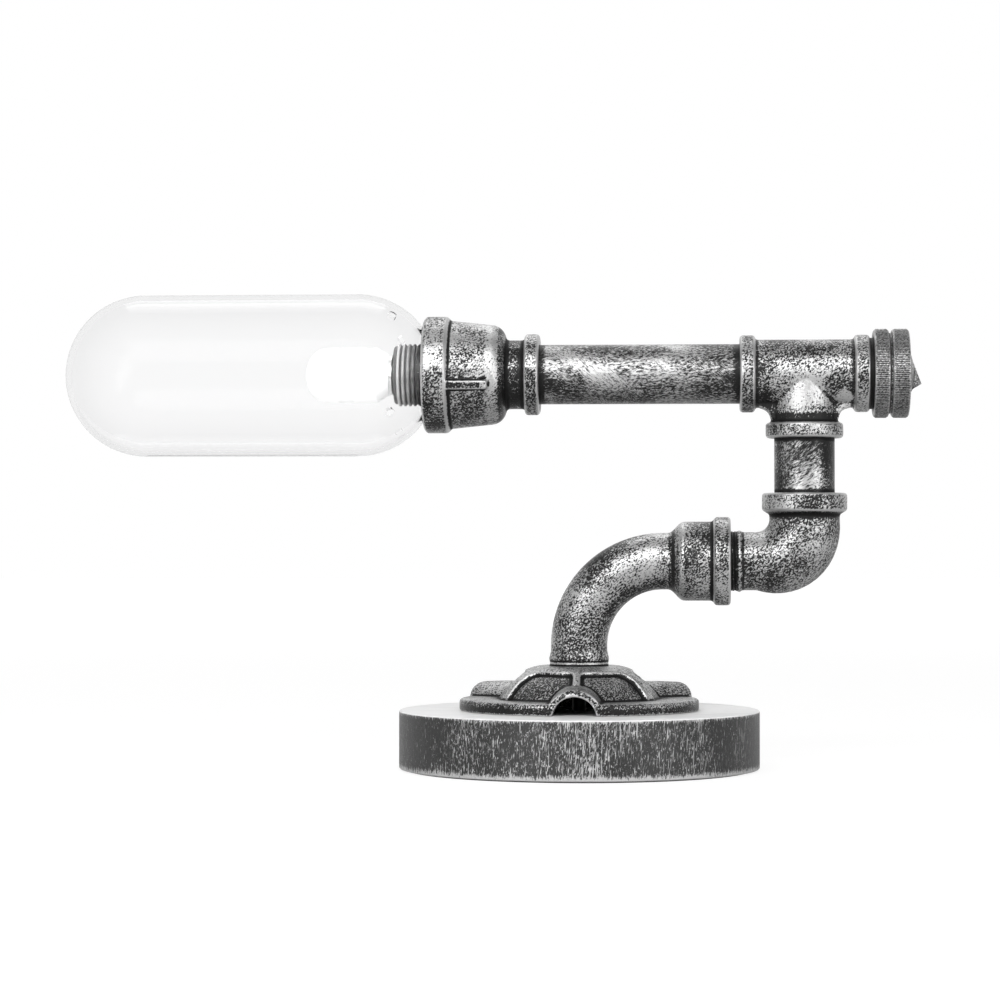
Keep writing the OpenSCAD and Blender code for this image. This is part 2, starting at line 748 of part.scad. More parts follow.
// The elbow's outer body, swept from its leg into its upright end
module elbow_body() {
    steps = 14;
    first = [[leg_body_x + 0.3, bend_z], [0, -1], elbow_leg_d / 2];
    last = [[riser_x, elbow_ring_z + 1], [1, 0], elbow_top_d / 2];
    rings = concat([first], [for (i = [0:steps]) elbow_ring_at(i / steps)], [last]);
    points = [
        for (q = rings, i = [0:fine_sides - 1]) let(a = 360 * i / fine_sides)
            [q[0][0] + q[2] * cos(a) * q[1][0], q[2] * sin(a), q[0][1] + q[2] * cos(a) * q[1][1]]
    ];
    count = len(rings);
    walls = [
        for (j = [0:count - 2], i = [0:fine_sides - 1])
            let(k = (i + 1) % fine_sides, a = j * fine_sides, b = a + fine_sides)
                each [[a + i, b + k, a + k], [a + i, b + i, b + k]]
    ];
    start = [for (i = [0:fine_sides - 1]) i];
    end = [for (i = [0:fine_sides - 1]) count * fine_sides - 1 - i];
    polyhedron(points = points, faces = concat([start], walls, [end]), convexity = 4);
}

module street_elbow() {
    color(iron) difference() {
        union() {
            elbow_body();
            turned_x(concat(
                [[0, leg_end_x], [male_r - 0.6, leg_end_x], [male_r, leg_end_x + 0.6], [male_r, bell_end_x]],
                ridges(bell_end_x + 0.2, 2, thread_pitch, male_r - thread_depth, male_r),
                [
                    [male_r - thread_depth, leg_body_x - 0.3], [elbow_collar_d / 2 - 0.3, leg_body_x - 0.3],
                    [elbow_collar_d / 2, leg_body_x], [elbow_collar_d / 2, leg_body_x + 0.6],
                    [elbow_leg_d / 2 - skin, leg_body_x + 1.4], [0, leg_body_x + 1.4]
                ]
            ), bend_z);
            turned_z([
                [0, elbow_ring_z - elbow_cone_h], [elbow_top_d / 2 - skin, elbow_ring_z - elbow_cone_h],
                [elbow_ring_d / 2 - ring_chamfer, elbow_ring_z], [elbow_ring_d / 2, elbow_ring_z + 0.7],
                [elbow_ring_d / 2, elbow_top_z - ring_chamfer],
                [elbow_ring_d / 2 - ring_chamfer, elbow_top_z], [0, elbow_top_z]
            ], riser_x);
        }
        bar(leg_end_x - eps, riser_x - elbow_bore_r, lead_bore_r, bend_z);
        quarter_turn(riser_x - elbow_bore_r, bend_z + elbow_bore_r, elbow_bore_r, lead_bore_r, 270);
        post(bend_z + elbow_bore_r, elbow_top_z + eps, lead_bore_r, riser_x);
        post(riser_end_z - 0.5, elbow_top_z + eps, riser_r + seat_play, riser_x);
    }
}

module riser_nipple() {
    color(iron) difference() {
        post(riser_end_z, riser_top_z, riser_r, riser_x);
        post(riser_end_z - eps, riser_top_z + eps, riser_bore_r, riser_x);
    }
}

module lead_in_riser() {
    color(black) {
        bar(leg_end_x, riser_x - elbow_bore_r, lead_d / 2, bend_z);
        quarter_turn(riser_x - elbow_bore_r, bend_z + elbow_bore_r, elbow_bore_r, lead_d / 2, 270);
        post(bend_z + elbow_bore_r, riser_top_z - 0.2, lead_d / 2, riser_x);
    }
}

// The fillets that fill both corners between the tee's branch and its run
module tee_corner() {
    reach = tee_branch_d / 2 + tee_fillet;
    foot_z = arm_z - tee_run_d / 2 - tee_fillet;
    translate([riser_x, 0, 0]) rotate([90, 0, 0])
        linear_extrude(height = tee_branch_d / 2, center = true) difference() {
            translate([-reach, foot_z]) square([2 * reach, tee_fillet + tee_run_d / 4]);
            for (s = [-1, 1]) translate([s * reach, foot_z]) circle(tee_fillet);
        }
}

module tee() {
    color(iron) difference() {
        union() {
            bar(tee_x0 + 1, tee_x1 - 1, tee_run_d / 2, arm_z);
            for (x = [tee_x0, tee_x1 - tee_ring_w])
                turned_x(ring_profile(x, x + tee_ring_w, 0, tee_ring_d / 2, ring_chamfer), arm_z);
            post(tee_z + 1, arm_z, tee_branch_d / 2, riser_x);
            turned_z(ring_profile(tee_z, tee_z + tee_ring_w, 0, tee_ring_d / 2, ring_chamfer), riser_x);
            tee_corner();
        }
        bar(tee_x0 - eps, tee_x1 + eps, tee_bore_r, arm_z);
        bar(tee_x0 - eps, tee_x0 + thread_l, arm_r + seat_play, arm_z);
        bar(tee_x1 - thread_l, tee_x1 + eps, male_r + seat_play, arm_z);
        post(tee_z, arm_z, riser_bore_r, riser_x);
        post(tee_z - eps, tee_z + thread_l, riser_r + swivel_play, riser_x);
    }
}

module arm_pipe() {
    color(iron) difference() {
        bar(cup_pipe_x + 0.5, tee_x0 + thread_l - 0.5, arm_r, arm_z);
        bar(cup_pipe_x, tee_x0 + thread_l, arm_bore_r, arm_z);
    }
}

module bell_reducer() {
    body_r0 = cup_body_d / 2;
    body_r1 = cup_waist_d / 2;
    ring_r = cup_ring_d / 2;
    small_r = cup_small_ring_d / 2;
    small_x = cup_x1 - cup_small_ring_w;
    color(iron) difference() {
        union() {
            turned_x(concat(
                [
                    [0, cup_x0], [ring_r - 1.2, cup_x0], [ring_r, cup_x0 + 1.2],
                    [ring_r, cup_x0 + cup_ring_w - 0.8], [ring_r - 0.6, cup_x0 + cup_ring_w],
                    [body_r0, cup_x0 + cup_ring_w + 0.9]
                ],
                arc(body_r1 - cup_round, cup_floor_x, cup_round, 0, 90),
                [
                    [cup_neck_d / 2 + 0.8, cup_neck_x], [cup_neck_d / 2, cup_neck_x + 0.8],
                    [cup_neck_d / 2, small_x], [small_r - ring_chamfer, small_x],
                    [small_r, small_x + ring_chamfer], [small_r, cup_x1 - ring_chamfer],
                    [small_r - ring_chamfer, cup_x1], [0, cup_x1]
                ]
            ), arm_z);
            for (a = [13.3, 193.3])
                translate([0, 0, arm_z]) rotate([a, 0, 0]) cast_rib(body_r0);
        }
        bar(cup_x0 - eps, cup_shelf_x, cup_socket_r, arm_z);
        bar(cup_x0, cup_floor_x, cup_cavity_d / 2, arm_z);
        bar(cup_x0, cup_x1, cup_bore_r, arm_z);
        bar(cup_pipe_x, cup_x1 + eps, arm_r + seat_play, arm_z);
    }
}

// One cast rib along the bell's front
module cast_rib(r) {
    x0 = cup_x0 + cup_ring_w - 1;
    x1 = cup_floor_x - 0.2;
    root = cast_wall;
    translate([0, root - r, 0]) rotate([90, 0, 0]) linear_extrude(height = cup_rib_h + root)
        translate([x0, -cup_rib_w / 2]) square([x1 - x0, cup_rib_w]);
}

module lead_in_tee() {
    color(black) post(riser_top_z, sheath_top_z, lead_d / 2, riser_x);
}

// A core that rises from the sheath at y and turns off along X, towards side s
module turning_core(s, y, z, x_end) {
    x0 = riser_x + s * core_turn_r;
    post(sheath_top_z, z - core_turn_r, core_d / 2, riser_x, y);
    quarter_turn(x0, z - core_turn_r, core_turn_r, core_d / 2, s > 0 ? 90 : 0, y);
    bar(min(x0, x_end), max(x0, x_end), core_d / 2, z, y);
}

module neutral_wire() {
    color([0.2, 0.3, 0.6]) turning_core(-1, -core_gap, low_core_z, terminal_x + terminal_l);
}

module line_wire() {
    color([0.5, 0.3, 0.15]) turning_core(1, core_gap, low_core_z, switch_x);
}

module switched_wire() {
    color([0.5, 0.3, 0.15])
        bar(terminal_x + terminal_l, switch_x, core_d / 2, high_core_z, core_gap);
}

module seat_plate() {
    color(steel) difference() {
        bar(plate_x, cup_floor_x, cup_cavity_d / 2 - seat_play, arm_z);
        bar(plate_x - eps, cup_floor_x + eps, stem_r + seat_play, arm_z);
    }
}

module stem_tube() {
    color(brass) difference() {
        bar(room_x1, cup_floor_x + nut_t + 2, stem_r, arm_z);
        bar(room_x1 - eps, cup_floor_x + nut_t + 2 + eps, stem_tube_bore / 2, arm_z);
    }
}

module stem_locknut() {
    color(steel) hex_nut(cup_floor_x, nut_t, nut_across, stem_r + seat_play, arm_z);
}

module lampholder_body() {
    rim_x = holder_x0 + 1.2;
    last_x = rim_x + holder_ribs_n * holder_pitch;
    color([0.55, 0.55, 0.53]) difference() {
        turned_x(concat(
            [[0, holder_x0], [holder_core_r - 0.4, holder_x0], [holder_core_r, holder_x0 + 0.4]],
            ridges(rim_x, holder_ribs_n, holder_pitch, holder_core_r, holder_d / 2),
            [[holder_core_r, last_x], [holder_core_r, holder_x1], [0, holder_x1]]
        ), arm_z);
        bar(holder_x0 - eps, shell_x1 + 0.4, shell_r + shell_t + seat_play, arm_z);
        bar(shell_x1, holder_wall_x, tip_r + 1.6, arm_z);
        bar(holder_wall_x + 1, room_x1, room_r, arm_z);
        bar(room_x1 - eps, holder_x1 + eps, stem_r + seat_play, arm_z);
    }
}

module lampholder_shell() {
    color(brass) difference() {
        bar(holder_x0 + 1, shell_x1, shell_r + shell_t, arm_z);
        bar(holder_x0, shell_x1 - shell_t, shell_r, arm_z);
        bar(holder_x0, shell_x1 + 1, tip_r + 1.6, arm_z);
    }
}

module lampholder_contact() {
    color(brass) {
        translate([blade_x, -tip_r, arm_z - 1.5]) cube([blade_t, 2 * tip_r, 3]);
        bar(blade_x + blade_t - eps, holder_wall_x, 1.2, arm_z);
    }
}

module lampholder_terminals() {
    color(brass) for (s = [-1, 1]) {
        translate([terminal_x, s > 0 ? 0.8 : -5.2, arm_z - 2.6]) cube([terminal_l, 4.4, 5.2]);
        post(arm_z + 2.6 - eps, arm_z + 4.2, 1.5, terminal_x + terminal_l / 2, s * 3);
    }
}

module neck_sleeve() {
    color(black) difference() {
        bar(cup_x0, cup_shelf_x - 1.4, sleeve_r + sleeve_t, arm_z);
        bar(cup_x0 - eps, cup_shelf_x, sleeve_r, arm_z);
    }
}

module switch_body() {
    color(black) difference() {
        bar(switch_x, collar_web_x, switch_r, arm_z);
        bar(switch_x + 3, collar_web_x + eps, shaft_r + 0.2, arm_z);
    }
}

module switch_bushing() {
    color(brass) difference() {
        bar(collar_web_x, bush_x1, bush_r, arm_z);
        bar(collar_web_x - eps, bush_x1 + eps, shaft_r + swivel_play / 2, arm_z);
    }
}

module switch_nut() {
    color(steel)
        hex_nut(collar_web_x + collar_web_t, switch_nut_t, switch_nut_across, bush_r + seat_play, arm_z);
}

module knob_collar() {
    color(iron) difference() {
        union() {
            bar(tee_x1 - thread_l + 0.5, tee_x1 + 0.1, male_r, arm_z);
            bar(tee_x1, collar_x + 0.1, collar_neck_d / 2, arm_z);
            turned_x(ring_profile(collar_x, groove_x, 0, knob_r, knob_chamfer), arm_z);
        }
        bar(tee_x1 - thread_l, collar_web_x, switch_r + seat_play, arm_z);
        bar(collar_web_x - eps, groove_x, bush_r + seat_play, arm_z);
        bar(collar_web_x + collar_web_t, groove_x + eps, 8.5, arm_z);
    }
}

module switch_shaft() {
    color(steel) bar(switch_x + 3.5, shaft_x1, shaft_r, arm_z);
}

module knob_ring() {
    color(iron) difference() {
        union() {
            bar(groove_x + turn_gap, knob_x + 0.1, groove_d / 2, arm_z);
            turned_x(ring_profile(knob_x, knob_face_x, 0, knob_r, knob_chamfer), arm_z);
        }
        bar(groove_x, shaft_x1 + 0.2, shaft_r + swivel_play / 2, arm_z);
        bar(knob_face_x - cap_seat_l, knob_face_x + eps, cap_seat_r + seat_play, arm_z);
        translate([set_screw_x, shaft_r - 0.5, arm_z]) rotate([-90, 0, 0])
            cylinder(h = knob_r, r = set_screw_r + swivel_play / 2);
    }
}

module knob_pointer() {
    color(iron) {
        turned_x(concat(
            [[0, knob_face_x]],
            arc(0, knob_face_x + dome_h - dome_r, dome_r, asin(1 - dome_h / dome_r), 90)
        ), arm_z);
        bar(knob_face_x - cap_seat_l + 0.2, knob_face_x + eps, cap_seat_r, arm_z);
        translate([knob_face_x, 0, arm_z]) pointer_fin();
    }
}

// The pointer's fin. Its foot is a long diamond on the dome, and its crest is a sloping edge.
module pointer_fin() {
    top = dome_d / 2 - 0.6;
    crest = [[0.2, top], [1.7, top - 4], [fin_h, -fin_offset], [1.9, -fin_offset - 2.2], [0.2, -top]];
    sides = [[0.2, -fin_w / 2], [0.2, fin_w / 2]];
    polyhedron(
        points = concat(
            [for (p = crest) [p[0], 0, p[1]]],
            [for (p = sides) [p[0], p[1], -fin_offset]]
        ),
        faces = [
            [0, 1, 5], [1, 2, 5], [2, 3, 5], [3, 4, 5], [1, 0, 6], [2, 1, 6], [3, 2, 6], [4, 3, 6],
            [0, 5, 6], [4, 6, 5]
        ]
    );
}

module knob_set_screw() {
    color(steel) translate([set_screw_x, shaft_r + 0.05, arm_z]) rotate([-90, 0, 0]) difference() {
        cylinder(h = 6, r = set_screw_r);
        translate([0, 0, 4.5]) cylinder(h = 2, r = 0.8, $fn = 6);
    }
}

module glass_form(inset) {
    r = glass_r - inset;
    bar(glass_cap_x, glass_shoulder_x, r, arm_z);
    for (x = [glass_cap_x, glass_shoulder_x]) translate([x, 0, arm_z]) sphere(r);
}

module shade_glass() {
    color(clear) difference() {
        union() {
            glass_form(0);
            bar(glass_root_x, glass_end_x, neck_r, arm_z);
        }
        glass_form(glass_t);
        bar(glass_root_x, glass_end_x + eps, neck_r - glass_t, arm_z);
        for (i = [0:vent_n - 1])
            translate([glass_shoulder_x, 0, arm_z])
                rotate([-vent_turn + 360 * i / vent_n, 0, 0]) rotate([0, 0, -vent_angle]) rotate([0, 90, 0])
                    cylinder(h = glass_d, r = vent_d / 2);
    }
}

module bulb_glass() {
    color(white) difference() {
        bulb_form(0);
        bulb_form(bulb_wall);
        bar(bulb_x0 - 4, bulb_x0 + 2, bulb_neck_r - bulb_wall, arm_z);
    }
}

// The bulb's round-ended tube, or its hollow with an inset
module bulb_form(inset) {
    r = bulb_r - inset;
    x1 = bulb_x0 - 5;
    turned_x(concat(
        [[0, bulb_x1 + inset]],
        [for (i = [1:8]) let(a = 90 * i / 8)
            [r * sin(a), bulb_x1 + inset + bulb_end_l * (1 - cos(a))]],
        [[r, x1 - inset], [bulb_neck_r - inset, bulb_x0 - inset], [0, bulb_x0 - inset]]
    ), arm_z);
    if (inset == 0) bar(bulb_x0 - 1, bulb_x0, bulb_neck_r, arm_z);
}

module bulb_cap() {
    ridge_n = 4;
    pitch = 2.8;
    ridge_x = cap_x1 - 2 - ridge_n * pitch;
    color(brass) difference() {
        turned_x(concat(
            [
                [0, bulb_x0], [bulb_neck_r, bulb_x0], [bulb_neck_r, cap_x0 - 0.4],
                [cap_r - 0.5, cap_x0 + 0.2]
            ],
            ridges(ridge_x, ridge_n, pitch, cap_r - 0.5, cap_r),
            [[cap_r - 0.5, cap_x1 - 1], [cap_r - 1.5, cap_x1], [0, cap_x1]]
        ), arm_z);
        bar(bulb_x0 - eps, cap_x1 + eps, cap_r - 2, arm_z);
    }
}

module bulb_insulator() {
    color(black) turned_x([
        [0, cap_x1 - 3], [cap_r - 2.1, cap_x1 - 3], [cap_r - 2.1, cap_x1],
        [tip_r + 0.6, cap_x1 + tip_l - 1], [0, cap_x1 + tip_l - 1]
    ], arm_z);
    color(brass) bar(cap_x1 + tip_l - 1 - eps, cap_x1 + tip_l, tip_r, arm_z);
}

module bulb_stem() {
    color(clear) turned_x([
        [0, stem_tip_x], [1.6, stem_tip_x], [1.6, bulb_x0 - 4], [cap_r - 2.1, bulb_x0 + 1],
        [cap_r - 2.1, bulb_x0 + 3], [0, bulb_x0 + 3]
    ], arm_z);
}

module bulb_filament() {
    x0 = stem_tip_x - 0.1;
    x1 = x0 - filament_l;
    color(steel) {
        for (s = [-1, 1]) translate([x0, 0, arm_z + s * 0.6])
            rotate([0, atan2(x1 - x0, s * (filament_spread - 0.6)), 0])
                cylinder(h = norm([filament_l, filament_spread - 0.6]), r = 0.3);
        post(arm_z - filament_spread - 0.3, arm_z + filament_spread + 0.3, 0.45, x1);
    }
}

wooden_base();
base_pad();
bottom_cover();
cover_screws();
cord_grommet();
floor_flange();
flange_bolts();
flange_washers();
terminal_block();
terminal_inserts();
terminal_screws();
lead_in_base();
street_bend();
lead_in_bend();
street_elbow();
riser_nipple();
lead_in_riser();
tee();
arm_pipe();
bell_reducer();
lead_in_tee();
neutral_wire();
line_wire();
switched_wire();
seat_plate();
stem_tube();
stem_locknut();
lampholder_body();
lampholder_shell();
lampholder_contact();
lampholder_terminals();
neck_sleeve();
switch_body();
switch_bushing();
switch_nut();
knob_collar();
switch_shaft();
knob_ring();
knob_pointer();
knob_set_screw();
shade_glass();
bulb_glass();
bulb_cap();
bulb_insulator();
bulb_stem();
bulb_filament();
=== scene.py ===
# Glass table lamp of pipe fittings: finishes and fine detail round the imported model
import math

import bpy
import numpy as np
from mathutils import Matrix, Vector


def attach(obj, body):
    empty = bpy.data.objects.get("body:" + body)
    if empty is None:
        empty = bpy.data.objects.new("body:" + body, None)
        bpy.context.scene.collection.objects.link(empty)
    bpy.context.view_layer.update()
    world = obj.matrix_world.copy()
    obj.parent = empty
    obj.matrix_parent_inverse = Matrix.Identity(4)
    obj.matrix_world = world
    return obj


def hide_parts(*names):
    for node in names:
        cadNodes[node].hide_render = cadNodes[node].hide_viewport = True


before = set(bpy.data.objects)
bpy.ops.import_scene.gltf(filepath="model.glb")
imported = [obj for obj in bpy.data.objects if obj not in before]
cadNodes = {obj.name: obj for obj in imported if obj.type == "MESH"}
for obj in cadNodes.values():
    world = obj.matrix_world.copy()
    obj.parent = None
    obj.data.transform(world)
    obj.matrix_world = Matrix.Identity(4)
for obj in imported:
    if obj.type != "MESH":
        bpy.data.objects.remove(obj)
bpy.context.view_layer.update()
mm = 0.001
armHeight = 167.0  # the arm's axis, in millimetres
print("frame loaded")


# Camera
camera = {
    "target": (-0.0336, 0.0, 0.0968),  # the lens is level with this point
    "azimuth": 3.9,
    "distance": 1.235,
    "lens": 104.7,
    "tilt": 0.79,  # degrees up from level
}
turn = math.radians(camera["azimuth"])
place = Vector(camera["target"]) + camera["distance"] * Vector((math.sin(turn), -math.cos(turn), 0))
bpy.ops.object.camera_add(location=place, rotation=(math.radians(90 + camera["tilt"]), 0, turn))
bpy.context.scene.camera = bpy.context.object
bpy.context.object.data.lens = camera["lens"]
print("camera placed")


# Selecting and finishing
def alone(piece):
    bpy.ops.object.select_all(action="DESELECT")
    piece.select_set(True)
    bpy.context.view_layer.objects.active = piece


def openForEdit(piece):
    alone(piece)
    bpy.ops.object.mode_set(mode="EDIT")
    bpy.ops.mesh.select_all(action="DESELECT")


def closeEdit():
    bpy.ops.object.mode_set(mode="OBJECT")


def applyModifiers(piece):
    alone(piece)
    for name in [modifier.name for modifier in piece.modifiers]:
        bpy.ops.object.modifier_apply(modifier=name)


def restMesh(piece):
    # the piece's place goes into its mesh
    alone(piece)
    bpy.ops.object.transform_apply(location=True, rotation=True, scale=True)


def selectVerts(piece, test):
    # selects the points that pass the test, and leaves the piece open for editing
    alone(piece)
    bpy.ops.object.mode_set(mode="EDIT")
    bpy.ops.mesh.select_mode(type="VERT")
    bpy.ops.mesh.select_all(action="DESELECT")
    bpy.ops.object.mode_set(mode="OBJECT")
    for vert in piece.data.vertices:
        vert.select = bool(test(vert.co))
    bpy.ops.object.mode_set(mode="EDIT")


def standOut(piece, points, rounds):
    # how far each point stands out of its neighbours, or lies in a crease (below 0), in millimetres
    count = len(points)
    ends = np.zeros(len(piece.data.edges) * 2, np.int32)
    piece.data.edges.foreach_get("vertices", ends)
    ends = ends.reshape(-1, 2)
    normals = np.zeros(count * 3, np.float32)
    piece.data.vertex_normals.foreach_get("vector", normals)
    neighbours = np.maximum(np.bincount(ends.ravel(), minlength=count), 1)

    def around(values):
        total = np.bincount(ends[:, 0], values[ends[:, 1]], count)
        total += np.bincount(ends[:, 1], values[ends[:, 0]], count)
        return total / neighbours

    middle = np.stack([around(points[:, axis]) for axis in range(3)], 1)
    out = ((points - middle) * normals.reshape(-1, 3)).sum(1)
    spread = []
    for step in range(max(rounds) + 1):
        spread.append(out)
        out = (out + around(out)) / 2
    return [spread[step] for step in rounds]


def fade(value, soft):
    # 0 below 0, and up to 1 over a soft edge
    return np.clip(value / soft, 0, 1)


def paintWearAndLight(piece, zones, wear=None):
    # more silver (above 0) or bare paint (below 0) in zones, which are functions of the points in
    # millimetres, or axis, from, to, soft edge and amount; some zones are painted highlights and painted
    # shade
    count = len(piece.data.vertices)
    points = np.zeros(count * 3, np.float32)
    piece.data.vertices.foreach_get("co", points)
    points = points.reshape(-1, 3) / mm
    amount = np.zeros(count, np.float32)
    if wear:
        edge, crease = standOut(piece, points, wear["rounds"])
        amount += wear["edge"] * fade(edge - wear["edgeFrom"], wear["edgeFrom"])
        amount -= wear["crease"] * fade(-crease - wear["creaseFrom"], wear["creaseFrom"])
    for zone in zones:
        if callable(zone):
            amount += zone(points)
            continue
        axis, start, end, soft, change = zone
        along = points[:, "xyz".index(axis)]
        amount += change * fade(along - start + soft, soft) * fade(end - along + soft, soft)
    attribute = piece.data.attributes.new("rubbed", "FLOAT", "POINT")
    attribute.data.foreach_set("value", amount.astype(np.float32))


def dress(piece, body, slot, *nodes):
    # gives a finished piece its body, its finish and the nodes that it stands for
    piece.data.materials.clear()
    piece.data.materials.append(finishes[slot])
    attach(piece, body)
    if nodes:
        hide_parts(*nodes)


# Node building
def plug(tree, value, socket):
    if isinstance(value, bpy.types.NodeSocket):
        tree.links.new(value, socket)
    else:
        socket.default_value = value


def maths(tree, operation, a, b=0.0):
    node = tree.nodes.new("ShaderNodeMath")
    node.operation = operation
    plug(tree, a, node.inputs[0])
    plug(tree, b, node.inputs[1])
    return node.outputs[0]


def ramp(tree, value, low, high, start=0.0, end=1.0):
    node = tree.nodes.new("ShaderNodeMapRange")
    node.interpolation_type = "SMOOTHSTEP"
    plug(tree, value, node.inputs["Value"])
    plug(tree, low, node.inputs["From Min"])
    plug(tree, high, node.inputs["From Max"])
    plug(tree, start, node.inputs["To Min"])
    plug(tree, end, node.inputs["To Max"])
    return node.outputs["Result"]


def noise(tree, vector, scale, detail=2.0, rough=0.5, warp=0.0):
    node = tree.nodes.new("ShaderNodeTexNoise")
    plug(tree, vector, node.inputs["Vector"])
    plug(tree, scale, node.inputs["Scale"])
    plug(tree, detail, node.inputs["Detail"])
    plug(tree, rough, node.inputs["Roughness"])
    plug(tree, warp, node.inputs["Distortion"])
    return node.outputs[0]


def eitherSide(tree, value, spread):
    # a value from 0 to 1 turned into one that runs either side of 0
    return maths(tree, "MULTIPLY", maths(tree, "SUBTRACT", value, 0.5), spread)


def mapping(tree, vector, turned=(0, 0, 0), scale=(1, 1, 1)):
    node = tree.nodes.new("ShaderNodeMapping")
    plug(tree, vector, node.inputs["Vector"])
    node.inputs["Rotation"].default_value = [math.radians(angle) for angle in turned]
    node.inputs["Scale"].default_value = scale
    return node.outputs[0]


def mixColour(tree, factor, a, b):
    node = tree.nodes.new("ShaderNodeMix")
    node.data_type = "RGBA"
    plug(tree, factor, node.inputs[0])
    plug(tree, a, node.inputs[6])
    plug(tree, b, node.inputs[7])
    return node.outputs[2]


def bump(tree, height, distance):
    node = tree.nodes.new("ShaderNodeBump")
    node.inputs["Distance"].default_value = distance
    plug(tree, height, node.inputs["Height"])
    return node.outputs[0]


def separate(tree, vector):
    node = tree.nodes.new("ShaderNodeSeparateXYZ")
    plug(tree, vector, node.inputs[0])
    return node.outputs


def squareFromArm(tree, y, z):
    # the square of a point's distance from the arm's axis
    lift = maths(tree, "SUBTRACT", z, armHeight * mm)
    return maths(tree, "ADD", maths(tree, "MULTIPLY", y, y), maths(tree, "MULTIPLY", lift, lift))


def newMaterial(name):
    material = bpy.data.materials.new(name)
    material.use_nodes = True
    tree = material.node_tree
    shader = tree.nodes["Principled BSDF"]
    where = tree.nodes.new("ShaderNodeTexCoord").outputs["Object"]
    return material, tree, shader, where


def newGroup(name, inputs, outputs):
    tree = bpy.data.node_groups.new(name, "ShaderNodeTree")
    for label, kind in inputs.items():
        tree.interface.new_socket(name=label, in_out="INPUT", socket_type=kind)
    for label in outputs:
        tree.interface.new_socket(name=label, in_out="OUTPUT", socket_type="NodeSocketFloat")
    return tree, tree.nodes.new("NodeGroupInput").outputs, tree.nodes.new("NodeGroupOutput").inputs


def useGroup(tree, group, values):
    node = tree.nodes.new("ShaderNodeGroup")
    node.node_tree = group
    for label, value in values.items():
        plug(tree, value, node.inputs[label])
    return node.outputs


number = "NodeSocketFloat"
vectorSocket = "NodeSocketVector"

# Silver rubbed over black paint: specks of a grain in millimetres over a share of the surface
speckleShape = {
    "detail": 3.0, "rough": 0.6,
    "patchScale": 70.0,  # cycles of the uneven rubbing in a metre
    "bare": 0.75, "reach": 0.5,  # the noise that specks start at with no cover, and what full cover takes off
}
speckle, given, made = newGroup(
    "Rubbed speckle",
    {"Vector": vectorSocket, "Grain": number, "Cover": number, "Softness": number, "Warp": number,
     "Patchiness": number},
    ["Mask", "Height"])
fineScale = maths(speckle, "DIVIDE", 1000.0, given["Grain"])
fine = noise(
    speckle, given["Vector"], fineScale, speckleShape["detail"], speckleShape["rough"], given["Warp"])
patches = noise(speckle, given["Vector"], speckleShape["patchScale"])
shifted = maths(speckle, "ADD", fine, eitherSide(speckle, patches, given["Patchiness"]))
covered = maths(speckle, "MULTIPLY", given["Cover"], speckleShape["reach"])
middle = maths(speckle, "SUBTRACT", speckleShape["bare"], covered)
low = maths(speckle, "SUBTRACT", middle, given["Softness"])
high = maths(speckle, "ADD", middle, given["Softness"])
speckle.links.new(ramp(speckle, shifted, low, high), made["Mask"])
speckle.links.new(fine, made["Height"])

# long strokes of the rag over the pipes, drawn out along their own slant
strokeFinish = {"stretch": (0.2, 1, 1), "softness": 0.1, "warp": 0.3, "patchiness": 0.9}


def rubbedIron(name, finish):
    # black paint with silver rubbed on: specks, worn edges and the skin's own roughness, and painted shade
    # where much silver is taken off
    material, tree, shader, where = newMaterial(name)
    along = mapping(tree, mapping(tree, where, turned=finish["turned"]), scale=finish["stretch"])
    rubbed = tree.nodes.new("ShaderNodeAttribute")
    rubbed.attribute_name = "rubbed"
    change = rubbed.outputs["Fac"]
    for axis, start, end, soft, amount in finish["zones"]:
        spot = separate(tree, where)[axis]
        rise = ramp(tree, spot, (start - soft) * mm, start * mm)
        fall = ramp(tree, spot, end * mm, (end + soft) * mm, 1.0, 0.0)
        inside = maths(tree, "MULTIPLY", maths(tree, "MINIMUM", rise, fall), amount)
        change = maths(tree, "ADD", change, inside)
    specks = useGroup(tree, speckle, {
        "Vector": along, "Grain": finish["grain"], "Cover": maths(tree, "ADD", change, finish["cover"]),
        "Softness": finish["softness"], "Warp": finish["warp"], "Patchiness": finish["patchiness"]})
    mask = specks["Mask"]
    strokes = finish.get("strokes")
    if strokes:
        slanted = mapping(tree, where, turned=(0, strokes["turned"], 0))
        drawn = useGroup(tree, speckle, {
            "Vector": mapping(tree, slanted, scale=strokeFinish["stretch"]), "Grain": strokes["grain"],
            "Cover": maths(tree, "ADD", change, strokes["cover"]), "Softness": strokeFinish["softness"],
            "Warp": strokeFinish["warp"], "Patchiness": strokeFinish["patchiness"]})
        mask = maths(tree, "MAXIMUM", mask, drawn["Mask"])
    # painted shade: the paint goes near black and duller where much silver is taken off, in creases, joints
    # and gaps
    paintedShade = ramp(tree, change, *finish["paintedShadeReach"])
    haze = noise(tree, along, finish["hazeScale"] / finish["grain"], 2.0, 0.7)
    paint = mixColour(tree, ramp(tree, haze, *finish["hazeReach"]), finish["paint"], finish["haze"])
    paint = mixColour(tree, paintedShade, paint, finish["paintedShade"])
    plug(tree, mixColour(tree, mask, paint, finish["silver"]), shader.inputs["Base Color"])
    plug(tree, maths(tree, "MULTIPLY", mask, finish["metallic"]), shader.inputs["Metallic"])
    gloss = ramp(tree, mask, 0.0, 1.0, *finish["rough"])
    dulled = maths(tree, "ADD", gloss, maths(tree, "MULTIPLY", paintedShade, finish["paintedShadeDull"]))
    plug(tree, dulled, shader.inputs["Roughness"])
    plug(tree, bump(tree, specks["Height"], finish["relief"] * mm), shader.inputs["Normal"])
    shader.inputs["Specular IOR Level"].default_value = finish["gloss"]
    return material


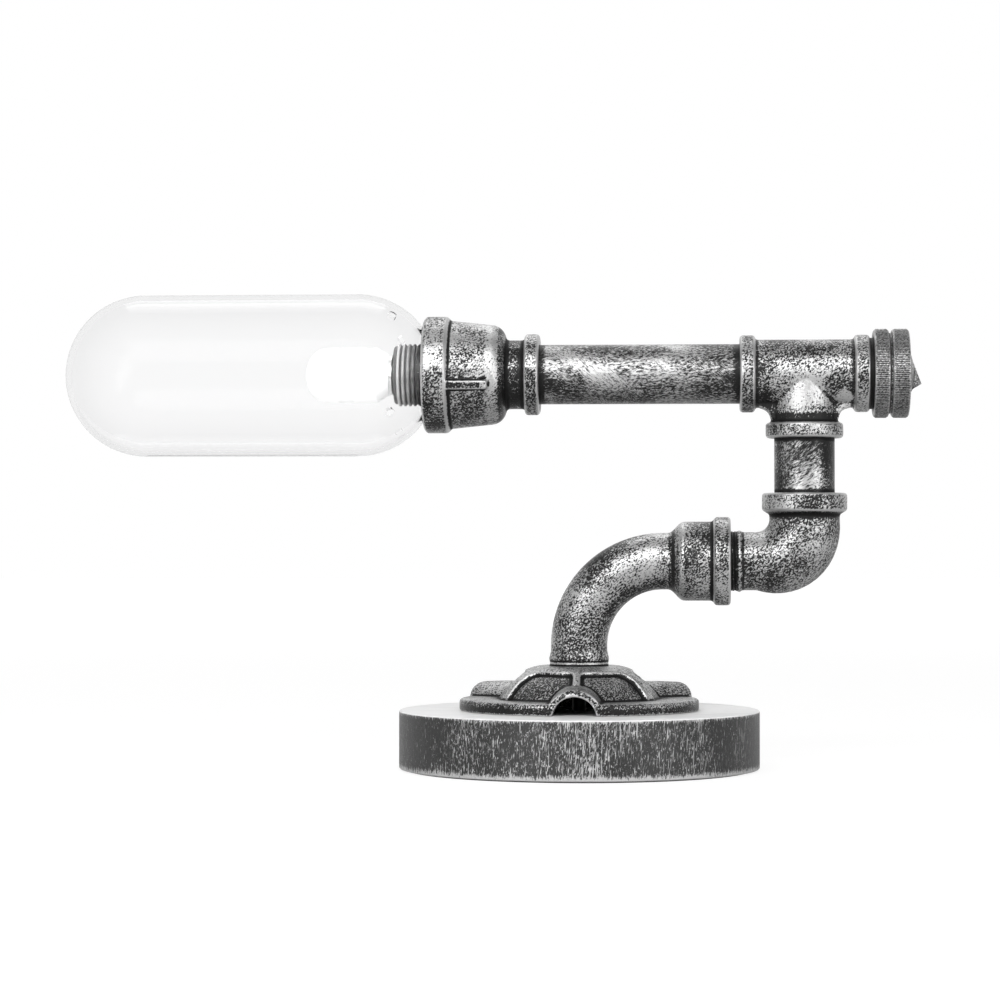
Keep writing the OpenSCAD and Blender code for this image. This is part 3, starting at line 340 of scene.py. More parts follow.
castFinish = {
    "grain": 0.66, "cover": 0.45, "softness": 0.07, "warp": 0.4, "patchiness": 0.5, "relief": 0.22,
    "turned": (0, 40, 0), "stretch": (0.7, 1, 1), "zones": [],
    "paint": (0.005, 0.005, 0.005, 1), "haze": (0.015, 0.015, 0.015, 1), "silver": (0.5, 0.5, 0.5, 1),
    "paintedShade": (0.002, 0.002, 0.002, 1), "metallic": 0.85, "rough": (0.33, 0.33), "gloss": 0.2,
    "hazeScale": 2500.0, "hazeReach": (0.4, 0.75),
    "paintedShadeReach": (-0.4, -0.7), "paintedShadeDull": 0.3,  # painted shade where this much silver is taken off, and its roughness
}
fittingIron = rubbedIron("fitting iron", castFinish)

flangeFinish = dict(castFinish, grain=0.6, cover=0.38, patchiness=0.3)
flangeIron = rubbedIron("flange iron", flangeFinish)

# the pipes carry less silver where they go into their fittings, and painted shade darkens them there
armFinish = dict(
    castFinish, grain=0.58, cover=0.36, turned=(0, 10, 0), stretch=(0.35, 1, 1), softness=0.13,
    rough=(0.36, 0.36), strokes={"turned": -38, "grain": 0.45, "cover": 0.3},
    zones=[("X", -17.0, -15.9, 2.5, -0.4), ("X", 67.4, 69.0, 3.0, -0.35)])
armIron = rubbedIron("arm pipe iron", armFinish)

riserFinish = dict(
    castFinish, grain=0.7, cover=0.42, turned=(0, 42, 0), stretch=(0.22, 1, 1), softness=0.14,
    patchiness=0.45, strokes={"turned": 27, "grain": 0.6, "cover": 0.38},
    # painted shade: darker where the riser goes into its fittings and along its left and right sides
    zones=[("Z", 116.0, 117.4, 1.5, -0.5), ("Z", 139.2, 141.0, 1.5, -0.6),
           ("X", 82.0, 84.0, 2.5, -0.3), ("X", 104.4, 108.0, 4.0, -0.3)])
riserIron = rubbedIron("riser iron", riserFinish)

knobFinish = dict(castFinish, grain=0.6, cover=0.4, patchiness=0.3, relief=0.1, softness=0.2)
knobIron = rubbedIron("knob metal", knobFinish)
print("iron finishes made")


def plainMaterial(name, colour, rough, metallic=0.0, grain=1.0, relief=0.05, spread=0.15):
    # a small part's finish: even colour with a fine grain in its shade, gloss and surface
    material, tree, shader, where = newMaterial(name)
    fleck = noise(tree, where, 1000.0 / grain, 3.0, 0.6)
    dark = [channel * (1 - spread) for channel in colour] + [1]
    light = [min(1.0, channel * (1 + spread)) for channel in colour] + [1]
    gloss = ramp(tree, fleck, 0.2, 0.8, rough * 0.85, min(1.0, rough * 1.15))
    plug(tree, mixColour(tree, ramp(tree, fleck, 0.3, 0.7), dark, light), shader.inputs["Base Color"])
    plug(tree, gloss, shader.inputs["Roughness"])
    plug(tree, bump(tree, fleck, relief * mm), shader.inputs["Normal"])
    shader.inputs["Metallic"].default_value = metallic
    return material


woodFinish = {
    "paint": (0.01, 0.01, 0.01, 1), "haze": (0.022, 0.022, 0.022, 1), "worn": (0.56, 0.56, 0.56, 1),
    "top": (0.72, 0.72, 0.72, 1), "topGrain": (0.84, 0.84, 0.84, 1),
    "topHeight": 24.7, "footHeight": 1.2,  # where the worn rims start, in millimetres
    "rimFade": (0.6, 0.8), "footFade": 1.4, "footShare": 0.9,
    "slant": (3, -4, 0),  # how far the brush leaned, in degrees
    "streakWidth": 0.45, "streaks": 0.605, "streakEdge": (0.04, 0.08),
    "specks": 0.59, "speckEdge": (0.04, 0.1),
    "streakRun": (1, 1, 0.06), "speckRun": (1, 1, 0.4),  # how far streaks and specks are drawn out along Z
    "speckScale": 1700.0, "patchScale": 50.0, "hazeScale": 3000.0, "grainScale": 500.0,  # cycles in a metre
    "patches": 0.22,  # how unevenly the side is brushed
    "streakFringe": 5.0, "speckFringe": 7.0, "fringeMiddle": 5.4,  # how ragged the worn rims are
    "patchFringe": 6.0,  # how much wider they are in a patch
    "leftEnd": (-36, -56, -0.06), "rightEnd": (50, 60, -0.05),  # from, to and how much the streaks are cut, a painted shade towards the side's ends
    "wornShare": 0.85, "relief": 0.1, "sideRough": 0.38, "topRough": 0.4,
}


def brushedWood(name, finish):
    # turned wood, painted black: brushed down the side so that light streaks show, and light on top
    material, tree, shader, where = newMaterial(name)
    places = separate(tree, where)
    across, height = places["X"], places["Z"]
    up = maths(tree, "DIVIDE", height, mm)
    slant = mapping(tree, where, turned=finish["slant"])
    streakPlace = mapping(tree, slant, scale=finish["streakRun"])
    long = noise(tree, streakPlace, 1000.0 / finish["streakWidth"], 2.0, 0.65, 0.15)
    speckPlace = mapping(tree, slant, scale=finish["speckRun"])
    short = noise(tree, speckPlace, finish["speckScale"], 3.0, 0.7, 0.4)
    patch = noise(tree, mapping(tree, where, scale=(1, 1, 0.6)), finish["patchScale"], 3.0)
    shift = eitherSide(tree, patch, finish["patches"])
    # painted shade: fewer streaks, so a darker side, towards its left and right ends
    for start, end, less in (finish["leftEnd"], finish["rightEnd"]):
        shift = maths(tree, "ADD", shift, ramp(tree, across, start * mm, end * mm, 0.0, less))
    level = finish["streaks"]
    below, above = finish["streakEdge"]
    streaks = ramp(tree, maths(tree, "ADD", long, shift), level - below, level + above)
    level = finish["specks"]
    below, above = finish["speckEdge"]
    specks = ramp(tree, maths(tree, "ADD", short, shift), level - below, level + above)
    fringe = maths(tree, "ADD", maths(tree, "MULTIPLY", long, finish["streakFringe"]),
                   maths(tree, "MULTIPLY", short, finish["speckFringe"]))
    fringe = maths(tree, "SUBTRACT", fringe, finish["fringeMiddle"])
    ragged = maths(tree, "ADD", fringe, maths(tree, "MULTIPLY", shift, finish["patchFringe"]))
    foot = finish["footHeight"]
    atFoot = ramp(tree, maths(tree, "SUBTRACT", up, ragged), foot + finish["footFade"], foot,
                  0.0, finish["footShare"])
    rim = finish["topHeight"]
    below, above = finish["rimFade"]
    atRim = ramp(tree, maths(tree, "ADD", up, ragged), rim - below, rim + above)
    brushed = maths(tree, "MAXIMUM", streaks, specks)
    worn = maths(tree, "MAXIMUM", brushed, maths(tree, "MAXIMUM", atFoot, atRim))
    haze = noise(tree, mapping(tree, slant, scale=(1, 1, 0.5)), finish["hazeScale"], 2.0, 0.7)
    paint = mixColour(tree, ramp(tree, haze, 0.35, 0.75), finish["paint"], finish["haze"])
    side = mixColour(tree, maths(tree, "MULTIPLY", worn, finish["wornShare"]), paint, finish["worn"])
    onTop = ramp(tree, height, (rim - 0.3) * mm, rim * mm)
    topGrain = noise(tree, mapping(tree, where, scale=(0.12, 1, 1)), finish["grainScale"], 3.0, 0.6)
    topColour = mixColour(tree, ramp(tree, topGrain, 0.3, 0.75), finish["top"], finish["topGrain"])
    plug(tree, mixColour(tree, onTop, side, topColour), shader.inputs["Base Color"])
    gloss = ramp(tree, onTop, 0.0, 1.0, finish["sideRough"], finish["topRough"])
    plug(tree, gloss, shader.inputs["Roughness"])
    plug(tree, bump(tree, maths(tree, "ADD", long, short), finish["relief"] * mm), shader.inputs["Normal"])
    shader.inputs["Specular IOR Level"].default_value = 0.5
    return material


holderFinish = {
    "light": (0.5, 0.5, 0.5, 1), "bellShade": (0.04, 0.04, 0.04, 1), "grooveShade": (0.1, 0.1, 0.1, 1),
    "from": -77.0, "to": -65.5,  # where along the arm the painted shade inside the bell starts and is full
    "low": 12.5, "high": 13.1,  # the ridges' foot and top, from the arm's axis
    "wanderScale": 150.0, "wanderReach": 8.0,  # how far the painted shade's start wanders, in millimetres
    "rough": (0.42, 0.5),
}


def holderPlastic(name, finish):
    # the lampholder's grey plastic: paler ridges over grooves darkened with painted shade, and painted shade
    # deepening towards the bell
    material, tree, shader, where = newMaterial(name)
    x, y, z = separate(tree, where)
    away = maths(tree, "SQRT", squareFromArm(tree, y, z))
    wander = eitherSide(tree, noise(tree, where, finish["wanderScale"]), finish["wanderReach"] * mm)
    bellShaded = ramp(tree, maths(tree, "ADD", x, wander), finish["from"] * mm, finish["to"] * mm)
    ridge = mixColour(tree, bellShaded, finish["light"], finish["bellShade"])
    onRidge = ramp(tree, away, finish["low"] * mm, finish["high"] * mm)
    plug(tree, mixColour(tree, onRidge, finish["grooveShade"], ridge), shader.inputs["Base Color"])
    plug(tree, ramp(tree, wander, -0.5 * mm, 0.5 * mm, *finish["rough"]), shader.inputs["Roughness"])
    return material


finishes = {
    "brushed_wood": brushedWood("brushed wood", woodFinish),
    "foam": plainMaterial("foam", (0.03, 0.03, 0.03), 0.95, grain=0.6, relief=0.1),
    "hardboard": plainMaterial("hardboard", (0.22, 0.14, 0.08), 0.8, grain=1.5),
    "zinc_steel": plainMaterial("zinc steel", (0.62, 0.63, 0.64), 0.32, 1.0),
    "black_rubber": plainMaterial("black rubber", (0.025, 0.025, 0.026), 0.7, grain=0.5),
    "nylon": plainMaterial("nylon", (0.75, 0.74, 0.7), 0.45),
    "brass": plainMaterial("brass", (0.72, 0.52, 0.24), 0.3, 1.0),
    "black_lead": plainMaterial("black lead", (0.03, 0.03, 0.03), 0.5),
    "blue_core": plainMaterial("blue core", (0.05, 0.12, 0.4), 0.45),
    "brown_core": plainMaterial("brown core", (0.16, 0.07, 0.03), 0.45),
    "holder_plastic": holderPlastic("holder plastic", holderFinish),
    "black_plastic": plainMaterial("black plastic", (0.03, 0.03, 0.032), 0.4),
    "knob_metal": knobIron,
    "cap_metal": plainMaterial("cap metal", (0.7, 0.7, 0.7), 0.3, 1.0),
    "cap_insulator": plainMaterial("cap insulator", (0.03, 0.03, 0.035), 0.35),
    "stem_glass": plainMaterial("stem glass", (0.8, 0.82, 0.82), 0.1),
    "filament": plainMaterial("filament", (0.3, 0.3, 0.3), 0.4, 1.0),
    "fitting_iron": fittingIron,
    "pipe_iron": armIron,
    "flange_iron": flangeIron,
}


glassFinish = {
    "index": 1.1, "level": 0.15,
    "middle": (0.945, 0.945, 0.947, 1), "side": (0.865, 0.865, 0.868, 1), "edge": (0.69, 0.69, 0.695, 1),
    "sideFacing": (0.06, 0.5), "edgeFacing": (0.75, 0.97),  # where each painted shade starts and is full
    "capMiddle": -185.25, "shoulderMiddle": -94.31,  # the middles of its round ends along X, in millimetres
    "outside": 33.4,  # the middle of its wall, so that only the outer surface is tinted and shaded
    "smearScale": 60.0, "smearRun": (0.3, 1, 1), "smearTint": 0.1, "smearRough": 0.02,
}


def clearGlass(name, finish):
    # blown glass: clear in the middle and greyer towards its outline, a painted shade for the darkening
    # there, with faint smears
    material, tree, shader, where = newMaterial(name)
    shader.inputs["Transmission Weight"].default_value = 1.0
    shader.inputs["IOR"].default_value = finish["index"]
    shader.inputs["Specular IOR Level"].default_value = finish["level"]
    facing = tree.nodes.new("ShaderNodeLayerWeight").outputs["Facing"]
    x, y, z = separate(tree, where)
    beyond = maths(tree, "MAXIMUM", maths(tree, "SUBTRACT", finish["capMiddle"] * mm, x),
                   maths(tree, "SUBTRACT", x, finish["shoulderMiddle"] * mm))
    beyond = maths(tree, "MAXIMUM", beyond, 0.0)
    square = maths(tree, "ADD", squareFromArm(tree, y, z), maths(tree, "MULTIPLY", beyond, beyond))
    away = maths(tree, "SQRT", square)
    outside = ramp(tree, away, (finish["outside"] - 0.1) * mm, (finish["outside"] + 0.1) * mm)
    smear = noise(tree, mapping(tree, where, scale=finish["smearRun"]), finish["smearScale"])
    smeared = maths(tree, "ADD", facing, maths(tree, "MULTIPLY", smear, finish["smearTint"]))
    tintAndShade = mixColour(tree, ramp(tree, smeared, *finish["sideFacing"]), finish["middle"], finish["side"])
    tintAndShade = mixColour(tree, ramp(tree, facing, *finish["edgeFacing"]), tintAndShade, finish["edge"])
    plug(tree, mixColour(tree, outside, (1, 1, 1, 1), tintAndShade), shader.inputs["Base Color"])
    plug(tree, ramp(tree, smear, 0.35, 0.8, 0.0, finish["smearRough"]), shader.inputs["Roughness"])
    return material


def litGlass(name, colour, glow):
    # the small bulb's opal glass, lit so that it shows as an even white
    material, tree, shader, where = newMaterial(name)
    cloud = noise(tree, where, 200.0, 2.0)
    plug(tree, mixColour(tree, cloud, colour, (1, 1, 1, 1)), shader.inputs["Base Color"])
    plug(tree, ramp(tree, cloud, 0.3, 0.7, 0.25, 0.35), shader.inputs["Roughness"])
    shader.inputs["Emission Color"].default_value = (1, 1, 1, 1)
    shader.inputs["Emission Strength"].default_value = glow
    return material


finishes["clear_glass"] = clearGlass("clear glass", glassFinish)
finishes["frosted_glass"] = litGlass("frosted glass", (0.93, 0.93, 0.93, 1), 0.12)

# Each carried-over node takes the finish of its slot, which its packed material is named after
for nodeName, node in cadNodes.items():
    for index, packed in enumerate(node.data.materials):
        node.data.materials[index] = finishes[packed.name.split(".")[0]]
cadNodes["riser_nipple"].data.materials[0] = riserIron
print("finishes given to the nodes")


# Castings: a merged copy of the node, remeshed so that each edge and corner is as soft as cast iron
def casting(nodeName, name, cast):
    piece = bpy.data.objects.new(name, cadNodes[nodeName].data.copy())
    bpy.context.scene.collection.objects.link(piece)
    openForEdit(piece)
    bpy.ops.mesh.select_all(action="SELECT")
    bpy.ops.mesh.remove_doubles(threshold=0.000002)
    bpy.ops.mesh.normals_make_consistent(inside=False)
    closeEdit()
    remesh = piece.modifiers.new("Remesh", "REMESH")
    remesh.mode = "VOXEL"
    remesh.voxel_size = cast["voxel"] * mm
    remesh.use_smooth_shade = True
    relax = piece.modifiers.new("Relax", "SMOOTH")
    relax.factor = 0.5
    relax.iterations = cast["rounds"]
    applyModifiers(piece)
    bpy.ops.object.shade_smooth()
    print(name, len(piece.data.polygons), "faces")
    return piece


# Marks of wear, painted highlights and painted shade on the castings, at their places in millimetres
teeMarks = {
    "branch": 97.2, "patchFoot": 152.4, "patchTop": 166.4,  # the painted highlight's middle, foot and tip
    "leftWidth": 14.0, "rightWidth": 9.6, "leftBorder": 4.4,
    "corner": (111.4, 156.6), "cornerSize": (4.8, 4.6), "shade": (78.0, 154.5), "shadeSize": 6.0,
}
flangeMarks = {
    "domeMiddle": (12.21, 17.13), "domeRadius": 26.2, "domeFoot": 30.4, "domeEdge": 37.0,
    "discTop": 29.3, "archFoot": 30.6, "discEdge": 49.9, "underTop": 28.4,
}
bendMarks = {"turnMiddle": (35.5, 52.4), "turnRadius": 29.0, "turnEnd": 36.5, "crease": 39.8, "rim": 43.4}
bellMarks = {"ribAngle": 13.3, "ribFrom": -54.6, "ribTo": -40.4}


def teeSaddles(points):
    # painted highlights: a pointed patch over the branch and a small one in the corner on the knob's side are
    # lighter, and painted shade darkens the crotch on the arm's side
    x, z = points[:, 0], points[:, 2]
    marks = teeMarks
    onLeft = x < marks["branch"]
    aside = np.abs(x - marks["branch"])
    taper = fade(marks["patchTop"] - z, 12.0) ** 0.75
    halfWidth = np.where(onLeft, marks["leftWidth"], marks["rightWidth"]) * taper
    above = fade(z - marks["patchFoot"], 0.8)
    patch = fade(halfWidth - aside, 1.5) * above
    core = fade(halfWidth - aside - np.where(onLeft, marks["leftBorder"], 0), 0.8) * above
    cornerX, cornerZ = marks["corner"]
    width, height = marks["cornerSize"]
    corner = fade(1.0 - np.abs(x - cornerX) / width - np.abs(z - cornerZ) / height, 0.2)
    shadeX, shadeZ = marks["shade"]
    shade = fade(1.0 - (np.abs(x - shadeX) + np.abs(z - shadeZ)) / marks["shadeSize"], 1 / 3)
    return 0.07 * patch + 0.13 * core + 0.22 * corner - 0.16 * shade


def flangeRibs(points):
    # the ribs, the hub's band and the disc's top stand out of the pockets and are rubbed a little lighter
    away, z = np.hypot(points[:, 0], points[:, 1]), points[:, 2]
    marks = flangeMarks
    middleX, middleZ = marks["domeMiddle"]
    outOfPocket = fade(np.hypot(away - middleX, z - middleZ) - marks["domeRadius"], 0.5)
    dome = outOfPocket * (z > marks["domeFoot"]) * (away < marks["domeEdge"])
    beyond = fade(away - marks["domeEdge"], 1.5)
    disc = beyond * fade(z - marks["discTop"], 0.4) * (z < marks["domeFoot"])
    arches = beyond * fade(z - marks["archFoot"], 0.5)
    under = fade(away - marks["discEdge"], 0.3) * fade(marks["underTop"] - z, 1.2)
    return 0.15 * dome + 0.15 * disc + 0.08 * arches - 0.24 * under


def bendInside(points):
    # less silver on the inside of the bend's turn, and a crease darkened with painted shade, with a bright
    # rim, before its bell
    x, z = points[:, 0], points[:, 2]
    middleX, middleZ = bendMarks["turnMiddle"]
    away = np.hypot(x - middleX, z - middleZ)
    inner = fade(bendMarks["turnRadius"] - away, 2.5) * (x < bendMarks["turnEnd"])
    crease = fade(1.0 - np.abs(x - bendMarks["crease"]), 0.6)
    rim = fade(1.5 - np.abs(x - bendMarks["rim"]), 0.8)
    return 0.2 * rim - 0.13 * inner - 0.4 * crease


def ringRims(along, middle, rings):
    # both rims of a cast ring are rubbed bare, and its face a little: each ring's start, end and radius
    across = [axis for axis in (0, 1, 2) if axis != along]

    def change(points):
        away = np.hypot(points[:, across[0]] - middle[0], points[:, across[1]] - middle[1])
        place = points[:, along]
        total = np.zeros(len(points))
        for start, end, radius in rings:
            outside = fade(away - radius + 1.3, 0.4) * (place > start - 0.3) * (place < end + 0.3)
            fromRim = np.minimum(np.abs(place - start), np.abs(place - end))
            total += outside * (0.7 * fade(1.0 - fromRim, 0.5) + 0.03)
        return total
    return change


def bellRib(points):
    # the bell's front rib keeps paint along its middle and is bright along its two edges
    x, y, z = points[:, 0], points[:, 1], points[:, 2]
    angle = math.radians(bellMarks["ribAngle"])
    across = np.abs((z - armHeight) * math.cos(angle) - y * math.sin(angle))
    inside = (y < 0) * (x > bellMarks["ribFrom"]) * (x < bellMarks["ribTo"])
    middle = fade(1.2 - across, 0.4)
    beside = fade(across - 2.1, 0.2) * fade(3.4 - across, 0.4)
    return inside * (0.5 * beside - 0.3 * middle)


# Cast edges are rubbed bright over about a millimetre, and paint stays in the creases, darkened there with
# painted shade
castWear = {"rounds": (1, 6), "edge": 0.6, "edgeFrom": 0.03, "crease": 0.85, "creaseFrom": 0.008}
castings = {
    "flange_casting": {
        "node": "floor_flange", "body": "base", "slot": "flange_iron", "voxel": 0.52, "rounds": 3,
        "zones": [flangeRibs]},
    "bend_casting": {
        "node": "street_bend", "body": "bend", "slot": "fitting_iron", "voxel": 0.5, "rounds": 5,
        "zones": [ringRims(0, (0, 87.9), [(56.4, 64.0, 18.65)]), bendInside,
                  # a painted shadow where the bend meets the hub and painted shade in the gap above it, with
                  # a rubbed crest between
                  ("z", 43.7, 44.2, 0.2, -0.7), ("z", 44.7, 45.1, 0.2, 0.4), ("z", 45.5, 45.9, 0.2, -0.7),
                  ("z", 48.5, 60.0, 3.0, 0.06)]},
    "elbow_casting": {
        "node": "street_elbow", "body": "riser", "slot": "fitting_iron", "voxel": 0.5, "rounds": 5,
        # painted shade: the elbow darker just below its ring and near black where it goes into the bend's
        # bell
        "zones": [ringRims(2, (95.1, 0), [(108.9, 116.7, 17.9)]), ("z", 106.4, 108.6, 1.0, -0.2),
                  ("x", 60.0, 66.4, 0.5, -0.8), ("x", 67.8, 78.0, 1.5, 0.12)]},
    "tee_casting": {
        "node": "tee", "body": "arm", "slot": "fitting_iron", "voxel": 0.5, "rounds": 5,
        "zones": [teeSaddles, ringRims(2, (95.1, 0), [(139.8, 146.3, 16.3)]),
                  ringRims(0, (0, armHeight), [(67.85, 74.35, 16.3), (115.85, 122.35, 16.3)]),
                  # painted shade on the branch beside its ring
                  ("z", 146.6, 149.5, 1.0, -0.4)],
        "wear": dict(castWear, crease=0.25)},
    "bell_casting": {
        "node": "bell_reducer", "body": "arm", "slot": "fitting_iron", "voxel": 0.5, "rounds": 5,
        "zones": [ringRims(0, (0, armHeight), [(-65.55, -55.15, 24.75), (-22.95, -16.55, 17.15)]), bellRib,
                  ("x", -37.8, -34.9, 1.6, 0.18), ("x", -33.2, -23.2, 0.6, -0.22),
                  # a painted highlight over the bell's upper part and painted shade over its lower part
                  ("z", 169.5, 183.0, 1.5, 0.14), ("z", 140.0, 158.0, 3.0, -0.1)]},
}
for name, cast in castings.items():
    piece = casting(cast["node"], name, cast)
    paintWearAndLight(piece, cast["zones"], cast.get("wear", castWear))
    dress(piece, cast["body"], cast["slot"], cast["node"])
print("castings made")


# Turned pieces, drawn ring by ring along X
def turned(name, stations, sides, height):
    # stations are radius and place along X, in millimetres, and the last ring joins the first
    radius, x = stations[0]
    bpy.ops.object.select_all(action="DESELECT")
    bpy.ops.mesh.primitive_circle_add(
        vertices=sides, radius=radius * mm, location=(x * mm, 0, height * mm), rotation=(0, math.pi / 2, 0))
    piece = bpy.context.object
    piece.name = name
    restMesh(piece)
    bpy.ops.object.mode_set(mode="EDIT")
    bpy.ops.mesh.select_mode(type="VERT")
    bpy.ops.mesh.select_all(action="SELECT")
    for nextRadius, nextX in stations[1:]:
        bpy.ops.mesh.extrude_region_move(TRANSFORM_OT_translate={"value": ((nextX - x) * mm, 0, 0)})
        factor = nextRadius / radius
        bpy.ops.transform.resize(value=(1, factor, factor), center_override=(nextX * mm, 0, height * mm))
        radius, x = nextRadius, nextX
    bpy.ops.mesh.select_all(action="DESELECT")
    bpy.ops.mesh.select_mode(type="EDGE")
    bpy.ops.mesh.select_non_manifold()
    bpy.ops.mesh.bridge_edge_loops()
    bpy.ops.mesh.select_all(action="SELECT")
    bpy.ops.mesh.normals_make_consistent(inside=False)
    closeEdit()
    bpy.ops.object.shade_smooth_by_angle(angle=math.radians(28))
    return piece


knobMarks = {
    "teeth": 18.65, "bevelTop": 18.22, "bevelFoot": 17.4, "faces": 17.3,  # radii
    "neck": (122.3, 124.0), "groove": (130.0, 131.6),  # from and to along X
}


def knobWearAndShade(points):
    # silver on the teeth and bevels, paint between the teeth, in the groove and behind the collar, with
    # painted shade between the teeth and behind the collar
    x, away = points[:, 0], np.hypot(points[:, 1], points[:, 2] - armHeight)
    marks = knobMarks
    teeth = 0.35 * (away > marks["teeth"]) - 0.5 * ((away > marks["bevelTop"]) & (away < marks["teeth"]))
    bevels = 0.2 * ((away > marks["bevelFoot"]) & (away < marks["bevelTop"]))
    neck = -0.6 * (away < marks["faces"]) * (x > marks["neck"][0]) * (x < marks["neck"][1])
    groove = -0.15 * (away < marks["faces"]) * (x > marks["groove"][0]) * (x < marks["groove"][1])
    return teeth + bevels + neck + groove


def knurl(piece, radius, teeth, depth, height):
    # every second line of points on the rim goes in, which leaves a straight knurl
    def onGroove(point):
        away = math.hypot(point.y, point.z - height * mm)
        step = math.atan2(point.y, point.z - height * mm) / math.tau * 2 * teeth
        return away > (radius - 0.05) * mm and round(step) % 2 == 1
    selectVerts(piece, onGroove)
    factor = (radius - depth) / radius
    bpy.ops.transform.resize(value=(1, factor, factor), center_override=(0, 0, height * mm))
    closeEdit()


# The thread that shows between the bend and the elbow
shownThread = {
    "from": 64.5, "height": 87.9, "radius": 12.15, "ridge": 0.5, "pitch": 1.4, "turns": 2, "steps": 96,
}


def threadRidge(name, thread):
    # one small ring, drawn round the pipe's axis as a screw
    bpy.ops.object.select_all(action="DESELECT")
    bpy.ops.mesh.primitive_circle_add(
        vertices=8, radius=thread["ridge"] * mm, location=(thread["from"] * mm, 0, thread["height"] * mm))
    piece = bpy.context.object
    piece.name = name
    bpy.ops.object.mode_set(mode="EDIT")
    bpy.ops.mesh.select_all(action="SELECT")
    bpy.ops.transform.rotate(value=math.pi / 2, orient_axis="X", center_override=piece.location)
    bpy.ops.transform.translate(value=(0, 0, thread["radius"] * mm))
    closeEdit()
    wind = piece.modifiers.new("Wind", "SCREW")
    wind.axis = "X"
    wind.steps = thread["steps"]
    wind.render_steps = thread["steps"]
    wind.screw_offset = thread["pitch"] * mm
    wind.iterations = thread["turns"]
    applyModifiers(piece)
    restMesh(piece)
    bpy.ops.object.mode_set(mode="EDIT")
    bpy.ops.mesh.select_mode(type="EDGE")
    bpy.ops.mesh.select_all(action="DESELECT")
    bpy.ops.mesh.select_non_manifold()
    bpy.ops.mesh.fill_holes(sides=8)
    bpy.ops.mesh.select_all(action="SELECT")
    bpy.ops.mesh.normals_make_consistent(inside=False)
    closeEdit()
    bpy.ops.object.shade_smooth()
    return piece


def threadWearAndShade(points):
    # painted shade: the thread goes near black between the fittings, and its crest keeps a little silver
    away = np.hypot(points[:, 1], points[:, 2] - shownThread["height"])
    return 0.55 * (away > shownThread["radius"] + 0.3) - 0.75


thread = threadRidge("elbow_thread", shownThread)
paintWearAndLight(thread, [threadWearAndShade])
dress(thread, "riser", "fitting_iron")
print("thread made")


knobRings = {
    "teeth": 150,
    "depth": 0.42,
    "radius": 18.75,
    "collar": [
        (12.3, 110.5), (12.4, 122.3), (15.0, 122.35), (15.0, 123.85), (17.7, 123.85), (18.2, 124.1),
        (18.75, 124.9), (18.75, 129.2), (18.2, 130.0), (17.7, 130.25), (8.5, 130.25), (8.5, 122.85),
        (3.6, 122.85), (3.6, 120.35), (8.1, 120.35), (8.1, 110.5)],
    "knob": [
        (3.05, 130.55), (17.0, 130.55), (17.0, 131.45), (17.7, 131.45), (18.2, 131.7), (18.75, 132.5),
        (18.75, 137.6), (18.2, 138.4), (17.7, 138.65), (16.6, 138.65), (16.4, 138.5), (11.2, 138.5),
        (11.0, 138.65), (5.1, 138.65), (5.1, 137.05), (3.05, 137.05)],
}
for name, form, body, node in (
        ("collar_knurled", "collar", "arm", "knob_collar"),
        ("knob_knurled", "knob", "knob", "knob_ring")):
    ring = turned(name, knobRings[form], 2 * knobRings["teeth"], armHeight)
    knurl(ring, knobRings["radius"], knobRings["teeth"], knobRings["depth"], armHeight)
    paintWearAndLight(ring, [knobWearAndShade])
    dress(ring, body, "knob_metal", node)
pointer = casting("knob_pointer", "pointer_cap", {"voxel": 0.2, "rounds": 3})
paintWearAndLight(pointer, [], castWear)
dress(pointer, "knob", "knob_metal", "knob_pointer")
print("knob made")


# Floor, light and background
studio = {
    "floorSize": 12.0,
    "floorColour": (0.5, 0.5, 0.5, 1),
    "floorSeen": (0.16, 0.16, 0.16, 1),  # what the camera's own view of the floor adds its shadow with
    "floorLift": (0.86, 0.96),  # what that view is lifted by, near the lamp and far off
    "floorMirrored": (0.2, 0.9),  # how much of it metal reflects, near the lamp and behind it
    "worldFill": 0.25,  # what the background gives as light
    "room": 0.22,  # what metal reflects over the bright backdrop
    "sides": 0.75,  # what it reflects of the side walls
    "liftReach": (0.5, 2.5), "mirrorReach": (0.15, 0.8),  # in metres, out from the lamp and behind it
    "backdropReach": (0.3, 0.65), "sidesReach": (0.75, 0.95),  # of the direction's Y and X
}
lamps = {
    "left": {"at": (-0.62, -1.13, 0.22), "size": (0.36, 0.9), "watts": 7.5},
    "right": {"at": (0.94, -0.83, 0.22), "size": (0.36, 0.9), "watts": 6.5},
    "front": {"at": (-0.08, -1.1, 0.88), "size": (1.1, 0.75), "watts": 14.5},
    "back": {"at": (-0.2, 0.8, 1.5), "size": (1.0, 0.7), "watts": 6.0},
}
aim = Vector((-0.03, 0, 0.12))
for name, lamp in lamps.items():
    bpy.ops.object.light_add(type="AREA", location=lamp["at"])
    light = bpy.context.object
    light.name = name + "Lamp"
    light.data.shape = "RECTANGLE"
    light.data.size, light.data.size_y = lamp["size"]
    light.data.energy = lamp["watts"]
    light.rotation_euler = (aim - light.location).to_track_quat("-Z", "Y").to_euler()


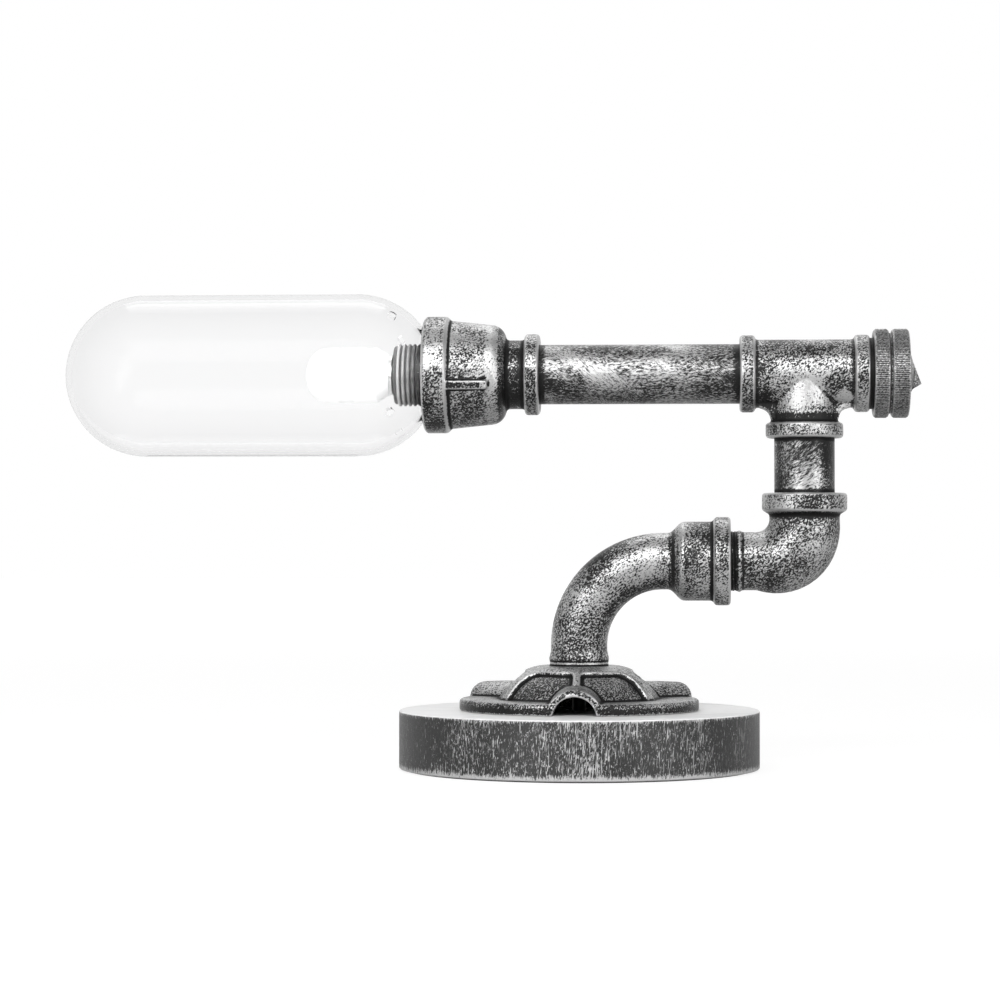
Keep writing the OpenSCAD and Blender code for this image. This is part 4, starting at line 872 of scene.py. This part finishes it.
def seenDirectly(tree, inMirror):
    # 1 for the camera and through glass, the given share in a reflection, else 0
    rays = tree.nodes.new("ShaderNodeLightPath").outputs
    direct = maths(tree, "MAXIMUM", rays["Is Camera Ray"], rays["Is Transmission Ray"])
    return maths(tree, "MAXIMUM", direct, maths(tree, "MULTIPLY", rays["Is Glossy Ray"], inMirror))


world = bpy.data.worlds.new("studio")
bpy.context.scene.world = world
world.use_nodes = True
worldTree = world.node_tree
background = worldTree.nodes["Background"]
background.inputs["Color"].default_value = (1, 1, 1, 1)
aimed = separate(worldTree, worldTree.nodes.new("ShaderNodeTexCoord").outputs["Generated"])
backdrop = ramp(worldTree, aimed["Y"], *studio["backdropReach"], studio["room"], 1.0)
sideways = maths(worldTree, "ABSOLUTE", aimed["X"])
sideWalls = ramp(worldTree, sideways, *studio["sidesReach"], studio["room"], studio["sides"])
inMirror = maths(worldTree, "MAXIMUM", backdrop, sideWalls)
plug(worldTree, maths(worldTree, "MAXIMUM", seenDirectly(worldTree, inMirror), studio["worldFill"]),
     background.inputs["Strength"])

bpy.ops.mesh.primitive_plane_add(size=studio["floorSize"], location=(0, 0, 0))
floor = bpy.context.object
floor.name = "floor"
floorMaterial, tree, shader, where = newMaterial("pale floor")
direct = seenDirectly(tree, 0.0)
plug(tree, mixColour(tree, direct, studio["floorColour"], studio["floorSeen"]), shader.inputs["Base Color"])
shader.inputs["Roughness"].default_value = 0.9
shader.inputs["Specular IOR Level"].default_value = 0.1
shader.inputs["Emission Color"].default_value = (1, 1, 1, 1)
farOff = tree.nodes.new("ShaderNodeVectorMath")
farOff.operation = "LENGTH"
plug(tree, where, farOff.inputs[0])
lift = ramp(tree, farOff.outputs["Value"], *studio["liftReach"], *studio["floorLift"])
mirrored = ramp(tree, separate(tree, where)["Y"], *studio["mirrorReach"], *studio["floorMirrored"])
plug(tree, maths(tree, "MULTIPLY", seenDirectly(tree, mirrored), lift), shader.inputs["Emission Strength"])
floor.data.materials.append(floorMaterial)
bpy.context.scene.view_settings.view_transform = "Standard"
print("studio made")
